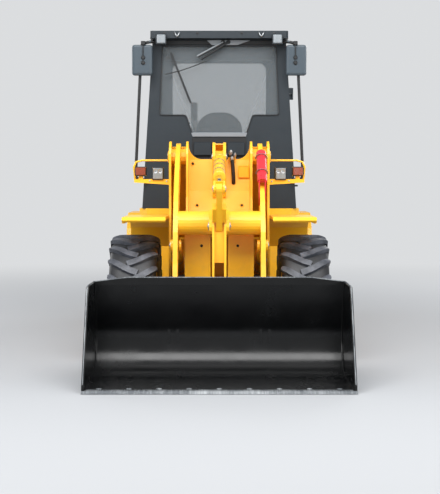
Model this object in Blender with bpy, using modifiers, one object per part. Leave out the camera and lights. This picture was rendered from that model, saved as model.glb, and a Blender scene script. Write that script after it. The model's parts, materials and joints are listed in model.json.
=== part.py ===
"""Compact articulated wheel loader, modelled as separate named pieces.

Metres, +Z up. The bucket faces -Y and +X is the operator's left hand. The origin
is on the floor under the middle of the machine. Side-view places are written as
(d, h): d runs back from the bucket's cutting edge, h up from the floor.
"""
import math

import bmesh
import bpy
from mathutils import Matrix, Vector

# Overall sizes
LENGTH = 5.70
FRONT_AXLE = 1.85
WHEELBASE = 2.25
REAR_AXLE = FRONT_AXLE + WHEELBASE
PIVOT = 2.975               # articulation joint
SEAT_GAP = 0.0003           # between faces that touch
RUN_GAP = 0.005             # between pieces that move past each other
PIN_GAP = 0.0005            # between a pin's faces and what it turns in

# Wheels
TYRE_RADIUS = 0.5375
TYRE_WIDTH = 0.42
TYRE_OUTER = 0.94           # outer face of the tyre, from the centre line
BEAD_RADIUS = 0.262
HUB_FACE = 0.600            # where the rim's disc bolts to the axle
WHEEL_STEPS = 16            # a multiple of 4, so a tyre has a corner at its lowest point
AXLE_RADIUS = 0.090
AXLE_SEAT = TYRE_RADIUS + 0.1825   # top of the axle's pads

# Front frame
PLATE = 0.020
INNER = 0.275               # inner face of an inner tower plate
OUTER = 0.427               # inner face of an outer tower plate
BOSS = 0.14                 # round top of the towers
NOSE = (1.612, 1.085)       # front and top of the nose box
SLOT = 0.075                # half width of the nose's slot for the bell crank
FRAME_BACK = 2.77
FRAME_LOW = 0.40
FRAME_STEP = 1.00           # where the tower plates start to lean forward
FENDER_TOP = 1.24
FENDER_OUT = 0.81
LAMP_D = 2.28

# Loader linkage, in the side view
BOOM_PIN = (2.20, 1.76)
BUCKET_PIN = (1.04, 0.27)
ARM_X = 0.365
ARM_T = 0.040
TUBE_AT = (1.47, 1.19)
TUBE_RADIUS = 0.100
CRANK_PIN = (1.26, 1.17)
CRANK_LOW = (1.1845, 0.3565)
CRANK_TOP = (1.0501, 1.4795)
TILT_PIN = (0.979, 0.5756)
LIFT_PIN = (1.48, 1.00)
LIFT_EAR = 0.055            # half length of the lift cylinder's base eye
LIFT_BASE = (2.69, 0.60)
CRANK_W = 0.116
CRANK_PLATE = 0.018
PROP = ((1.665, 1.430), (1.945, 1.685))    # the prop's ends along the arm's centre line
PROP_OFF = 0.135            # from that line to the prop's flat side
PROP_RADIUS = 0.043
LINK_W = 0.028
EAR_T = 0.020

# Bucket
BUCKET_W = 2.00
BUCKET_LOW = 0.003
SHEET = 0.016
BUCKET_BACK = 0.93
BUCKET_TOP = 0.745
GUARD_TOP = 0.784
GUARD_HALF = 0.72

# Steering cylinders
STEER_BASE = (0.28, 3.40, 0.70)
STEER_EYE = (0.22, 2.83, 0.70)
STEER_ROD = 0.0175

# Cab
CAB_FRONT = 2.97
CAB_BACK = 4.20
CAB_FLOOR = 1.28
CAB_EAVES = 2.90
CAB_TOP = 2.97
CAB_HALF = 0.745            # at the floor
CAB_TAPER = 0.0647          # lost from each side per metre of height
WALL = 0.045
GLASS = 0.012
DOOR_BACK = 4.00
PLATFORM_HALF = 0.775
PLATFORM_T = 0.06

# Hood
HOOD_HALF = 0.52
HOOD_TOP = 1.93
HOOD_FRONT = 4.28
HOOD_BACK = 5.50
HOOD_WALL = 0.03
RAIL = (0.27, 0.33)
RAIL_TOP = 0.95
YOKE_BACK = 3.46            # the wall behind the joint's fork
WEIGHT_FRONT = 5.15
WEIGHT_TOP = 1.24

SIDES = (("left", 1), ("right", -1))


def at(d):
    """World Y of a place d behind the cutting edge."""
    return d - LENGTH / 2


def cab_half(h):
    """Half width of the cab at height h."""
    return CAB_HALF - CAB_TAPER * (h - CAB_FLOOR)


# Collections, bodies and finishes ------------------------------------------------

for old in list(bpy.data.objects):
    bpy.data.objects.remove(old, do_unlink=True)

PARTS = bpy.data.collections.new("wheel_loader")
TOOLS = bpy.data.collections.new("cutters")
bpy.context.scene.collection.children.link(PARTS)
bpy.context.scene.collection.children.link(TOOLS)

# body: (parent body, joint's place as x, d, h)
BODIES = {
    "rear_chassis": (None, (0, LENGTH / 2, 0)),
    "front_chassis": ("rear_chassis", (0, PIVOT, 0.70)),
    "boom": ("front_chassis", (0, *BOOM_PIN)),
    "bucket": ("boom", (0, *BUCKET_PIN)),
    "bell_crank": ("boom", (0, *CRANK_PIN)),
    "bucket_link": ("bucket", (0, *TILT_PIN)),
    "tilt_cylinder": ("boom", (0, *BOOM_PIN)),
    "tilt_rod": ("tilt_cylinder", (0, *CRANK_TOP)),
    "lift_cylinders": ("front_chassis", (0, *LIFT_BASE)),
    "lift_rods": ("lift_cylinders", (0, *LIFT_PIN)),
    "cab_door": ("rear_chassis", (0.765, DOOR_BACK + 0.003, 2.0)),
    "engine_hood": ("rear_chassis", (0, HOOD_FRONT, HOOD_TOP)),
}
for side, sign in SIDES:
    BODIES[f"front_wheel_{side}"] = ("front_chassis", (sign * HUB_FACE, FRONT_AXLE, TYRE_RADIUS))
    BODIES[f"rear_wheel_{side}"] = ("rear_chassis", (sign * HUB_FACE, REAR_AXLE, TYRE_RADIUS))
    base, eye = STEER_BASE, STEER_EYE
    BODIES[f"steering_cylinder_{side}"] = ("rear_chassis", (sign * base[0], *base[1:]))
    BODIES[f"steering_rod_{side}"] = (f"steering_cylinder_{side}", (sign * eye[0], *eye[1:]))


def place(body):
    """World position of a body's joint."""
    x, d, h = BODIES[body][1]
    return Vector((x, at(d), h))


EMPTIES = {}
for body, (parent, _) in BODIES.items():
    empty = bpy.data.objects.new(f"joint_{body}", None)
    PARTS.objects.link(empty)
    if parent:
        empty.parent = EMPTIES[parent]
        empty.location = place(body) - place(parent)
    EMPTIES[body] = empty


def finish(name, colour, roughness, metallic=0.0):
    """A paint, rubber, glass or metal: colour is sRGB from 0 to 255."""
    material = bpy.data.materials.new(name)
    material.use_nodes = True
    shader = material.node_tree.nodes["Principled BSDF"]
    linear = [((c / 255 + 0.055) / 1.055) ** 2.4 for c in colour]
    shader.inputs["Base Color"].default_value = (*linear, 1)
    shader.inputs["Roughness"].default_value = roughness
    shader.inputs["Metallic"].default_value = metallic
    return material


YELLOW = finish("yellow_paint", (246, 184, 42), 0.38)
CAB_PAINT = finish("dark_grey_paint", (52, 64, 72), 0.40)
BLACK = finish("black_paint", (18, 19, 21), 0.25)
RUBBER = finish("tyre_rubber", (56, 58, 66), 0.85)
GLAZING = finish("tinted_glass", (150, 156, 160), 0.08)
STEEL = finish("plated_rod", (190, 194, 198), 0.18, 1.0)
IRON = finish("dark_cast_iron", (62, 64, 66), 0.60, 0.3)
RED = finish("red_paint", (204, 44, 56), 0.35)
PLASTIC = finish("mirror_plastic", (104, 116, 126), 0.45)
VINYL = finish("seat_vinyl", (44, 46, 50), 0.60)


# Shapes --------------------------------------------------------------------------

def add(mesh, name="shape"):
    """Put a mesh in the model as an object."""
    obj = bpy.data.objects.new(name, mesh)
    PARTS.objects.link(obj)
    return obj


def block(x, d, h):
    """A box between two values of x, d and h."""
    bm = bmesh.new()
    bmesh.ops.create_cube(bm, size=1)
    low = Vector((x[0], at(d[0]), h[0]))
    high = Vector((x[1], at(d[1]), h[1]))
    for vert in bm.verts:
        vert.co = Vector((low[i] + (vert.co[i] + 0.5) * (high[i] - low[i]) for i in range(3)))
    mesh = bpy.data.meshes.new("block")
    bm.to_mesh(mesh)
    bm.free()
    return add(mesh)


def bar(start, end, radius, sides=12, end_radius=None):
    """A round bar, or a cone, from one (x, d, h) to another."""
    a = Vector((start[0], at(start[1]), start[2]))
    b = Vector((end[0], at(end[1]), end[2]))
    bm = bmesh.new()
    bmesh.ops.create_cone(bm, cap_ends=True, segments=sides, radius1=radius,
                          radius2=radius if end_radius is None else end_radius,
                          depth=(b - a).length)
    turn = (b - a).to_track_quat("Z", "X").to_matrix().to_4x4()
    bmesh.ops.transform(bm, matrix=Matrix.Translation((a + b) / 2) @ turn, verts=bm.verts)
    mesh = bpy.data.meshes.new("bar")
    bm.to_mesh(mesh)
    bm.free()
    return add(mesh)


def settle(obj):
    """Turn a curve or a modified object into a plain closed mesh with its faces out."""
    bpy.context.view_layer.update()
    graph = bpy.context.evaluated_depsgraph_get()
    mesh = bpy.data.meshes.new_from_object(obj.evaluated_get(graph))
    mesh.transform(obj.matrix_world)
    bm = bmesh.new()
    bm.from_mesh(mesh)
    bmesh.ops.remove_doubles(bm, verts=bm.verts, dist=0.00002)
    bmesh.ops.recalc_face_normals(bm, faces=bm.faces)
    bm.to_mesh(mesh)
    bm.free()
    bpy.data.objects.remove(obj)
    return add(mesh)


VIEWS = {
    "side": Matrix(((0, 0, 1), (1, 0, 0), (0, 1, 0))),     # outline (d, h), thick in x
    "front": Matrix(((1, 0, 0), (0, 0, -1), (0, 1, 0))),   # outline (x, h), thick in d
    "plan": Matrix(((1, 0, 0), (0, 1, 0), (0, 0, 1))),     # outline (x, d), thick in h
}


def plate(view, outlines, low, high):
    """A flat plate cut to one outline, with further outlines as holes in it."""
    curve = bpy.data.curves.new("outline", "CURVE")
    curve.dimensions = "2D"
    curve.fill_mode = "BOTH"
    curve.extrude = (high - low) / 2
    for points in outlines:
        spline = curve.splines.new("POLY")
        spline.points.add(len(points) - 1)
        for point, (u, v) in zip(spline.points, points):
            u, v = {"side": (at(u), v), "front": (u, v), "plan": (u, at(v))}[view]
            point.co = (u, v, 0, 1)
        spline.use_cyclic_u = True
    obj = bpy.data.objects.new("outline", curve)
    PARTS.objects.link(obj)
    obj.matrix_world = VIEWS[view].to_4x4()
    shape = settle(obj)
    middle = (low + high) / 2
    shift = {"side": (middle, 0, 0), "front": (0, at(middle), 0), "plan": (0, 0, middle)}[view]
    shape.data.transform(Matrix.Translation(shift))
    return shape


def arc(centre, radius, start, end, steps):
    """Points on an arc, from start to end in degrees."""
    turns = [math.radians(start + (end - start) * i / steps) for i in range(steps + 1)]
    return [(centre[0] + radius * math.cos(t), centre[1] + radius * math.sin(t)) for t in turns]


def smooth(points, steps):
    """A smooth curve through the points (Catmull-Rom), each a tuple of any length."""
    ends = [points[0], *points, points[-1]]
    out = []
    for a, b, c, e in zip(ends, ends[1:], ends[2:], ends[3:]):
        for i in range(steps):
            t = i / steps
            out.append(tuple(
                0.5 * (2 * q + (r - p) * t + (2 * p - 5 * q + 4 * r - s) * t ** 2
                       + (3 * q - p - 3 * r + s) * t ** 3)
                for p, q, r, s in zip(a, b, c, e)))
    return out + [tuple(points[-1])]


def ribbon(points, caps=0):
    """The outline of a strip along (u, v, half width) points, with round ends if caps > 0."""
    left, right = [], []
    for i, (u, v, half) in enumerate(points):
        before = points[max(i - 1, 0)]
        after = points[min(i + 1, len(points) - 1)]
        du, dv = after[0] - before[0], after[1] - before[1]
        size = math.hypot(du, dv)
        left.append((u - dv / size * half, v + du / size * half))
        right.append((u + dv / size * half, v - du / size * half))

    def cap(point, first):
        """Points round an end, from first by half a turn."""
        turn = math.degrees(math.atan2(first[1] - point[1], first[0] - point[0]))
        return arc(point[:2], point[2], turn, turn - 180, caps)[1:-1]

    if caps:
        return left + cap(points[-1], left[-1]) + right[::-1] + cap(points[0], right[0])
    return left + right[::-1]


def inset(points, gap):
    """An outline moved inwards by gap."""
    area = sum(a[0] * b[1] - b[0] * a[1] for a, b in zip(points, points[1:] + points[:1]))
    sign = 1 if area > 0 else -1
    lines = []
    for a, b in zip(points, points[1:] + points[:1]):
        size = math.hypot(b[0] - a[0], b[1] - a[1])
        normal = (-(b[1] - a[1]) / size * sign, (b[0] - a[0]) / size * sign)
        lines.append((normal, normal[0] * a[0] + normal[1] * a[1] + gap))
    out = []
    for (n, c), (m, e) in zip(lines[-1:] + lines[:-1], lines):
        det = n[0] * m[1] - n[1] * m[0]
        out.append(((c * m[1] - e * n[1]) / det, (n[0] * e - m[0] * c) / det))
    return out


def turned(profile, centre, outward, steps):
    """A ring turned about the X axis: profile is (distance outward, radius) points."""
    mesh = bpy.data.meshes.new("profile")
    verts = [(outward * x, radius, 0) for x, radius in profile]
    mesh.from_pydata(verts, [(i, (i + 1) % len(verts)) for i in range(len(verts))], [])
    obj = add(mesh)
    screw = obj.modifiers.new("turn", "SCREW")
    screw.axis = "X"
    screw.steps = screw.render_steps = steps
    screw.use_merge_vertices = True
    screw.merge_threshold = 0.00005
    shape = settle(obj)
    shape.data.transform(Matrix.Translation((centre[0], at(centre[1]), centre[2])))
    return shape


def tube(points, radius):
    """A bent round tube through (x, d, h) points."""
    curve = bpy.data.curves.new("tube", "CURVE")
    curve.dimensions = "3D"
    curve.bevel_depth = radius
    curve.bevel_resolution = 2
    curve.use_fill_caps = True
    spline = curve.splines.new("POLY")
    spline.points.add(len(points) - 1)
    for point, (x, d, h) in zip(spline.points, points):
        point.co = (x, at(d), h, 1)
    obj = bpy.data.objects.new("tube", curve)
    PARTS.objects.link(obj)
    return settle(obj)


def boolean(obj, tools, operation):
    """Join tools to an object or cut them from it, and keep them as hidden guides."""
    for tool in tools:
        PARTS.objects.unlink(tool)
        TOOLS.objects.link(tool)
        tool.hide_render = True
        tool.display_type = "WIRE"
        step = obj.modifiers.new(operation.lower(), "BOOLEAN")
        step.operation = operation
        step.object = tool
        tool.parent = obj
    return obj


def joined(obj, *tools):
    return boolean(obj, tools, "UNION")


def cut(obj, *tools):
    return boolean(obj, tools, "DIFFERENCE")


def piece(name, body, material, obj):
    """Name a finished piece, paint it and hang it on its body's joint."""
    obj.name = name
    obj.data.name = name
    origin = place(body)
    obj.data.transform(Matrix.Translation(-origin))
    obj.parent = EMPTIES[body]
    for child in obj.children:
        child.data.transform(Matrix.Translation(-origin))
    obj.data.materials.clear()
    obj.data.materials.append(material)
    obj.data.shade_smooth()
    obj.data.set_sharp_from_angle(angle=math.radians(35))
    return obj


# Front frame ---------------------------------------------------------------------

def tower_outline(front):
    """Side outline of a tower plate; front points run up from the bottom front corner."""
    top = arc(BOOM_PIN, BOSS, -5, 170, 8)
    return [(FRAME_BACK, FRAME_LOW), (FRAME_BACK, FRAME_STEP), (2.50, 1.40), *top, *front]


def front_frame():
    front, top = NOSE
    axle_back = FRONT_AXLE + 0.15
    under = AXLE_SEAT + SEAT_GAP
    inner = tower_outline([(2.02, 1.40), (1.92, top), (front + 0.01, top), (front + 0.01, under),
                           (axle_back, under), (axle_back, FRAME_LOW)])
    outer = tower_outline([(2.05, 1.40), (1.99, 0.95), (1.99, FRAME_LOW)])
    lap = 0.005
    shapes = []
    for sign in (1, -1):
        for outline, low in ((inner, INNER), (outer, OUTER)):
            ends = sorted((sign * low, sign * (low + PLATE)))
            shapes.append(plate("side", [outline], *ends))
        shapes.append(block(sorted((sign * SLOT, sign * (INNER + PLATE))),
                            (front, front + PLATE), (under, top)))
        shapes.append(block(sorted((sign * SLOT, sign * (SLOT + 0.015))),
                            (front + lap, 1.95), (under, top - lap)))
    span = INNER + lap
    web = ribbon([(2.34, 1.74, 0.009), (2.27, 1.45, 0.009), (2.08, 1.15, 0.009), (1.94, 1.072, 0.009)])
    shapes.append(plate("side", [web], -span, span))
    deck = block((-span, span), (front + lap, 1.96), (top - 0.022, top - 0.004))
    shapes.append(cut(deck, block((-SLOT, SLOT), (1.5, 1.94), (0.5, 1.2))))
    shapes.append(block((-SLOT - 0.01, SLOT + 0.01), (1.93, 1.95), (under, top - lap)))
    wide = OUTER + lap
    shapes.append(block((-wide, wide), (axle_back + lap, FRAME_BACK - lap), (FRAME_LOW + lap, 0.425)))
    shapes.append(block((-wide, wide), (FRAME_BACK - 0.02, FRAME_BACK - 0.001), (FRAME_LOW + lap, FRAME_STEP - lap)))
    for low in (0.43, 0.93):
        lug = [(-0.22, FRAME_BACK - 0.01), (0.22, FRAME_BACK - 0.01), *arc((0, PIVOT), 0.11, 20, 160, 8)]
        shapes.append(plate("plan", [lug], low, low + 0.04))
    for sign in (1, -1):
        eye = [(sign * (STEER_EYE[0] + 0.06), FRAME_BACK - 0.01),
               (sign * (STEER_EYE[0] - 0.06), FRAME_BACK - 0.01),
               *arc((sign * STEER_EYE[0], STEER_EYE[1]), 0.04, 90 + sign * 90, 90 - sign * 90, 6)]
        shapes.append(plate("plan", [eye], STEER_EYE[2] - 0.075, STEER_EYE[2] - 0.040))
        lug_x = sorted((sign * 0.035, sign * 0.060))
        lug = [(2.345, 1.70), *arc(BOOM_PIN, 0.13, 20, 200, 8), (2.20, 1.40), (2.26, 1.42)]
        shapes.append(plate("side", [lug], *lug_x))
        for x in ((INNER + PLATE - lap, ARM_X - LIFT_EAR - PIN_GAP), (ARM_X + LIFT_EAR + PIN_GAP, OUTER + lap)):
            shapes.append(bar((sign * x[0], *LIFT_BASE), (sign * x[1], *LIFT_BASE), 0.050))
        for x in ((INNER + PLATE - lap, ARM_X - ARM_T / 2 - PIN_GAP),
                  (ARM_X + ARM_T / 2 + PIN_GAP, OUTER + lap)):
            shapes.append(bar((sign * x[0], *BOOM_PIN), (sign * x[1], *BOOM_PIN), 0.075))
    return joined(shapes[0], *shapes[1:])


piece("front_frame", "front_chassis", YELLOW, front_frame())


def axle(d):
    """A rigid axle: housing, differential, two pads on top and a flange at each end."""
    height = TYRE_RADIUS
    house = bar((-HUB_FACE + 0.02, d, height), (HUB_FACE - 0.02, d, height), AXLE_RADIUS)
    shapes = [bar((-0.16, d, height), (0.16, d, height), 0.145)]
    for sign in (1, -1):
        shapes.append(bar((sign * 0.155, d, height), (sign * 0.24, d, height), 0.144, 12, 0.091))
        ends = (sign * (HUB_FACE - 0.03), sign * (HUB_FACE - PIN_GAP))
        shapes.append(bar((ends[0], d, height), (ends[1], d, height), 0.15))
        shapes.append(block(sorted((sign * 0.25, sign * 0.35)), (d - 0.08, d + 0.08), (height, AXLE_SEAT)))
    return joined(house, *shapes)


piece("front_axle", "front_chassis", IRON, axle(FRONT_AXLE))
piece("rear_axle", "rear_chassis", IRON, axle(REAR_AXLE))


def front_fender(sign):
    """A pressed mudguard: a short lip in front, a flat top and a slope behind the tyre."""
    lip, low = 1.35, FENDER_TOP - 0.012
    line = [(lip, low - 0.022, 0.012), (lip + 0.02, low, 0.012), (2.20, low, 0.012),
            (2.36, low - 0.10, 0.012), (2.47, low - 0.28, 0.012)]
    ends = sorted((sign * (OUTER + PLATE + SEAT_GAP), sign * FENDER_OUT))
    skirt = block(sorted((sign * (FENDER_OUT - 0.02), sign * FENDER_OUT)),
                  (lip + 0.02, 2.20), (low - 0.04, low))
    return joined(plate("side", [ribbon(line)], *ends), skirt)


def lamp_bracket(sign):
    """A bar out from the tower with a headlamp, an indicator and a thin guard hoop."""
    side = OUTER + PLATE + SEAT_GAP
    d = LAMP_D
    arm = plate("front", [[(sign * side, 1.51), (sign * 0.771, 1.53), (sign * 0.771, 1.56),
                           (sign * side, 1.56)]], d - 0.03, d + 0.03)
    lamp = block(sorted((sign * 0.505, sign * 0.605)), (d - 0.045, d + 0.045), (1.555, 1.665))
    blinker = block(sorted((sign * 0.662, sign * 0.762)), (d - 0.04, d + 0.035), (1.59, 1.67))
    stalk = block(sorted((sign * 0.69, sign * 0.73)), (d - 0.02, d + 0.02), (1.55, 1.60))
    route = [(side, 1.73), (0.70, 1.73), (0.755, 1.715), (0.775, 1.67), (0.763, 1.54)]
    hoop = tube([(sign * x, d, h) for x, h in route], 0.009)
    return joined(arm, lamp, blinker, stalk, hoop)


for side, sign in SIDES:
    piece(f"front_fender_{side}", "front_chassis", YELLOW, front_fender(sign))
    piece(f"lamp_bracket_{side}", "front_chassis", YELLOW, lamp_bracket(sign))


# Wheels --------------------------------------------------------------------------

def wheel(name, sign, d):
    """A tyre on a one-piece rim, whose disc bolts to the axle's flange."""
    middle = TYRE_OUTER - TYRE_WIDTH / 2
    half = TYRE_WIDTH / 2
    centre = (0, d, TYRE_RADIUS)
    bead = BEAD_RADIUS
    side = [(middle - 0.14, bead), (middle - 0.165, bead + 0.03), (middle - half, 0.40),
            (middle - half + 0.015, 0.49), (middle - half + 0.05, TYRE_RADIUS - 0.008)]
    tread = [(middle - 0.08, TYRE_RADIUS), (middle + 0.08, TYRE_RADIUS)]
    tyre = side + tread + [(2 * middle - x, r) for x, r in side[::-1]]
    tyre += [(middle + 0.14, bead + 0.03), (middle - 0.14, bead + 0.03)]
    face = HUB_FACE
    wall = bead - PIN_GAP
    rim = [(middle - 0.17, wall), (middle - 0.17, wall - 0.012), (face + 0.03, 0.235), (face, 0.200),
           (face, 0.02), (face + 0.11, 0.02), (face + 0.11, 0.10), (face + 0.02, 0.14),
           (face + 0.02, 0.19), (face + 0.06, 0.225), (middle + 0.17, wall - 0.012), (middle + 0.17, wall)]
    body = f"{name}_wheel_{'left' if sign > 0 else 'right'}"
    end = "left" if sign > 0 else "right"
    piece(f"{name}_tyre_{end}", body, RUBBER, turned(tyre, centre, sign, WHEEL_STEPS))
    piece(f"{name}_rim_{end}", body, YELLOW, turned(rim, centre, sign, WHEEL_STEPS))


for side, sign in SIDES:
    wheel("front", sign, FRONT_AXLE)
    wheel("rear", sign, REAR_AXLE)


# Boom ----------------------------------------------------------------------------

def arm_outline():
    """A lift arm's side outline, bent like a goose's neck, from the tower to the bucket."""
    line = [(*BOOM_PIN, 0.12), (1.86, 1.56, 0.125), (TUBE_AT[0] + 0.04, TUBE_AT[1] - 0.01, 0.135),
            (1.30, 0.70, 0.075), (*BUCKET_PIN, 0.07)]
    return ribbon(smooth(line, 4), caps=6)


for side, sign in SIDES:
    ends = sorted((sign * (ARM_X - ARM_T / 2), sign * (ARM_X + ARM_T / 2)))
    boss = plate("side", [arc(LIFT_PIN, 0.060, 0, 345, 23)[::2]], *ends)
    piece(f"lift_arm_{side}", "boom", YELLOW, joined(plate("side", [arm_outline()], *ends), boss))


def cross_tube():
    """The round tube between the arms, with two lugs that carry the bell crank."""
    half = ARM_X - ARM_T / 2 - SEAT_GAP
    pipe = bar((-half, *TUBE_AT), (half, *TUBE_AT), TUBE_RADIUS, 24)
    shapes = []
    for sign in (1, -1):
        lug = ribbon([(*CRANK_PIN, 0.065), (TUBE_AT[0], TUBE_AT[1], 0.11)], caps=6)
        low = CRANK_W / 2 + PIN_GAP
        shapes.append(plate("side", [lug], *sorted((sign * low, sign * (low + 0.025)))))
    return joined(pipe, *shapes)


piece("boom_cross_tube", "boom", YELLOW, cross_tube())


def safety_prop():
    """The half-round prop strapped along the left arm, with a fork at its lower end."""
    low, high = Vector(PROP[0]), Vector(PROP[1])
    along_arm = (high - low).normalized()
    out = Vector((-along_arm.y, along_arm.x))
    start, end = low + out * PROP_OFF, high + out * PROP_OFF
    round_bar = bar((ARM_X, *start), (ARM_X, *end), PROP_RADIUS, 16)
    shave = plate("side", [[tuple(p) for p in (
        low - along_arm * 0.1 + out * PROP_OFF, high + along_arm * 0.1 + out * PROP_OFF,
        high + along_arm * 0.1 - out * 0.1, low - along_arm * 0.1 - out * 0.1)]],
        ARM_X - 0.1, ARM_X + 0.1)
    legs = []
    reach = ARM_T / 2 + PIN_GAP
    for sign in (1, -1):
        tip = low - along_arm * 0.10
        outline = [start + out * 0.03, start + along_arm * 0.04 + out * 0.03,
                   start + along_arm * 0.04 - out * 0.05, tip + out * 0.01 - out * 0.05, tip + out * 0.045]
        ends = sorted((ARM_X + sign * reach, ARM_X + sign * (reach + 0.010)))
        legs.append(plate("side", [[tuple(p) for p in outline]], *ends))
    return joined(cut(round_bar, shave), *legs)


piece("boom_safety_prop", "boom", RED, safety_prop())


def bell_crank():
    """Two plates joined by a hub and a web, and a narrow top between the rod's cheeks."""
    outline = ribbon([(*CRANK_PIN, 0.065), (*CRANK_LOW, 0.05)], caps=6)
    half = CRANK_W / 2
    plates = [plate("side", [outline], *sorted((sign * (half - CRANK_PLATE), sign * half)))
              for sign in (1, -1)]
    web = block((-half + 0.01, half - 0.01), (CRANK_PIN[0] - 0.035, CRANK_PIN[0] + 0.035),
                (CRANK_PIN[1] - 0.30, CRANK_PIN[1] + 0.03))
    top = plate("side", [ribbon([(*CRANK_PIN, 0.06), (*CRANK_TOP, 0.040)], caps=6)], -0.025, 0.025)
    return joined(plates[0], plates[1], web, top)


piece("bell_crank", "bell_crank", YELLOW, bell_crank())


def bucket_link():
    link = ribbon([(*TILT_PIN, 0.042), (*CRANK_LOW, 0.042)], caps=6)
    return plate("side", [link], -LINK_W / 2, LINK_W / 2)


piece("bucket_link", "bucket_link", YELLOW, bucket_link())


# Cylinders -----------------------------------------------------------------------

def along(a, b, distance, x=0.0):
    """The (x, d, h) point a distance along the side-view line from a to b."""
    size = math.dist(a, b)
    return (x, a[0] + (b[0] - a[0]) * distance / size, a[1] + (b[1] - a[1]) * distance / size)


def barrel(base, eye, x, radius, rod, start, bottom, end, eye_half, eye_radius):
    """A cylinder's barrel, bored for its rod, with an eye at its base."""
    body = bar(along(base, eye, start, x), along(base, eye, end, x), radius)
    ear = bar((x - eye_half, *base), (x + eye_half, *base), eye_radius)
    neck = bar(along(base, eye, 0.0, x), along(base, eye, start + 0.02, x), eye_half * 0.9)
    bore = bar(along(base, eye, bottom, x), along(base, eye, end + 0.1, x), rod + PIN_GAP)
    return cut(joined(body, ear, neck), bore)


def fork_rod(base, eye, x, rod, inner, block_at, block_long, cheek, gap, eye_radius):
    """A plated rod with a fork: two cheeks either side of what it pushes."""
    stem = bar(along(base, eye, inner, x), along(base, eye, block_at - block_long / 2, x), rod)
    shapes = []
    half = gap + cheek
    start = along(base, eye, block_at - block_long)[1:]
    stop = along(base, eye, block_at)[1:]
    size = eye_radius * 0.9
    lap = 0.002
    shapes.append(plate("side", [ribbon([(*start, size - lap), (*stop, size - lap)])],
                        x - half + lap, x + half - lap))
    for sign in (1, -1):
        ends = sorted((x + sign * gap, x + sign * half))
        outline = ribbon([(*along(base, eye, block_at - block_long + lap)[1:], size), (*eye, size)])
        turn = math.degrees(math.atan2(eye[1] - base[1], eye[0] - base[0]))
        outline[1:3] = arc(eye, eye_radius, turn + 90, turn - 90, 6)
        shapes.append(plate("side", [outline], *ends))
    return joined(stem, *shapes)


LIFT_LENGTH = math.dist(LIFT_BASE, LIFT_PIN)
for side, sign in SIDES:
    x = sign * ARM_X
    piece(f"lift_cylinder_{side}", "lift_cylinders", YELLOW,
          barrel(LIFT_BASE, LIFT_PIN, x, 0.052, 0.0275, 0.0, 0.038, 1.000, LIFT_EAR, 0.052))
    piece(f"lift_rod_{side}", "lift_rods", STEEL,
          fork_rod(LIFT_BASE, LIFT_PIN, x, 0.0275, 0.042, LIFT_LENGTH - 0.245,
                   0.02, 0.02, ARM_T / 2 + RUN_GAP, 0.05))

TILT_LENGTH = math.dist(BOOM_PIN, CRANK_TOP)
piece("tilt_cylinder", "tilt_cylinder", YELLOW,
      barrel(BOOM_PIN, CRANK_TOP, 0, 0.050, 0.025, 0.15, 0.18, 0.80, 0.0342, 0.055))
piece("tilt_rod", "tilt_rod", STEEL,
      fork_rod(BOOM_PIN, CRANK_TOP, 0, 0.025, 0.40, TILT_LENGTH - 0.090,
               0.03, 0.018, 0.025 + RUN_GAP, 0.042))


def steering_pair(side, sign):
    """One steering cylinder and its rod, lying flat between the two half frames."""
    base = (sign * STEER_BASE[0], *STEER_BASE[1:])
    eye = (sign * STEER_EYE[0], *STEER_EYE[1:])
    size = math.dist(base, eye)

    def point(distance):
        return tuple(a + (b - a) * distance / size for a, b in zip(base, eye))

    body = bar(point(0.03), point(0.375), 0.035)
    ear = bar((*base[:2], base[2] - 0.036 + PIN_GAP), (*base[:2], base[2] + 0.036), 0.036)
    bore = bar(point(0.040), point(0.5), STEER_ROD + PIN_GAP)
    piece(f"steering_cylinder_{side}", f"steering_cylinder_{side}", YELLOW, cut(joined(body, ear), bore))
    stem = bar(point(0.205), point(size), STEER_ROD)
    end = bar((*eye[:2], eye[2] - 0.035), (*eye[:2], eye[2] + 0.020), 0.032)
    piece(f"steering_rod_{side}", f"steering_rod_{side}", STEEL, joined(stem, end))


for side, sign in SIDES:
    steering_pair(side, sign)


# Bucket --------------------------------------------------------------------------

def bucket_wall(offset):
    """The bucket's section from lip to top, moved inwards by offset."""
    radius = 0.31
    low = BUCKET_LOW + offset
    centre = (BUCKET_BACK - radius, BUCKET_LOW + radius)
    bend = arc(centre, radius - offset, -90, 15, 8)
    return [(0.05, low), *bend, (0.822 - offset, BUCKET_TOP)]


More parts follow.
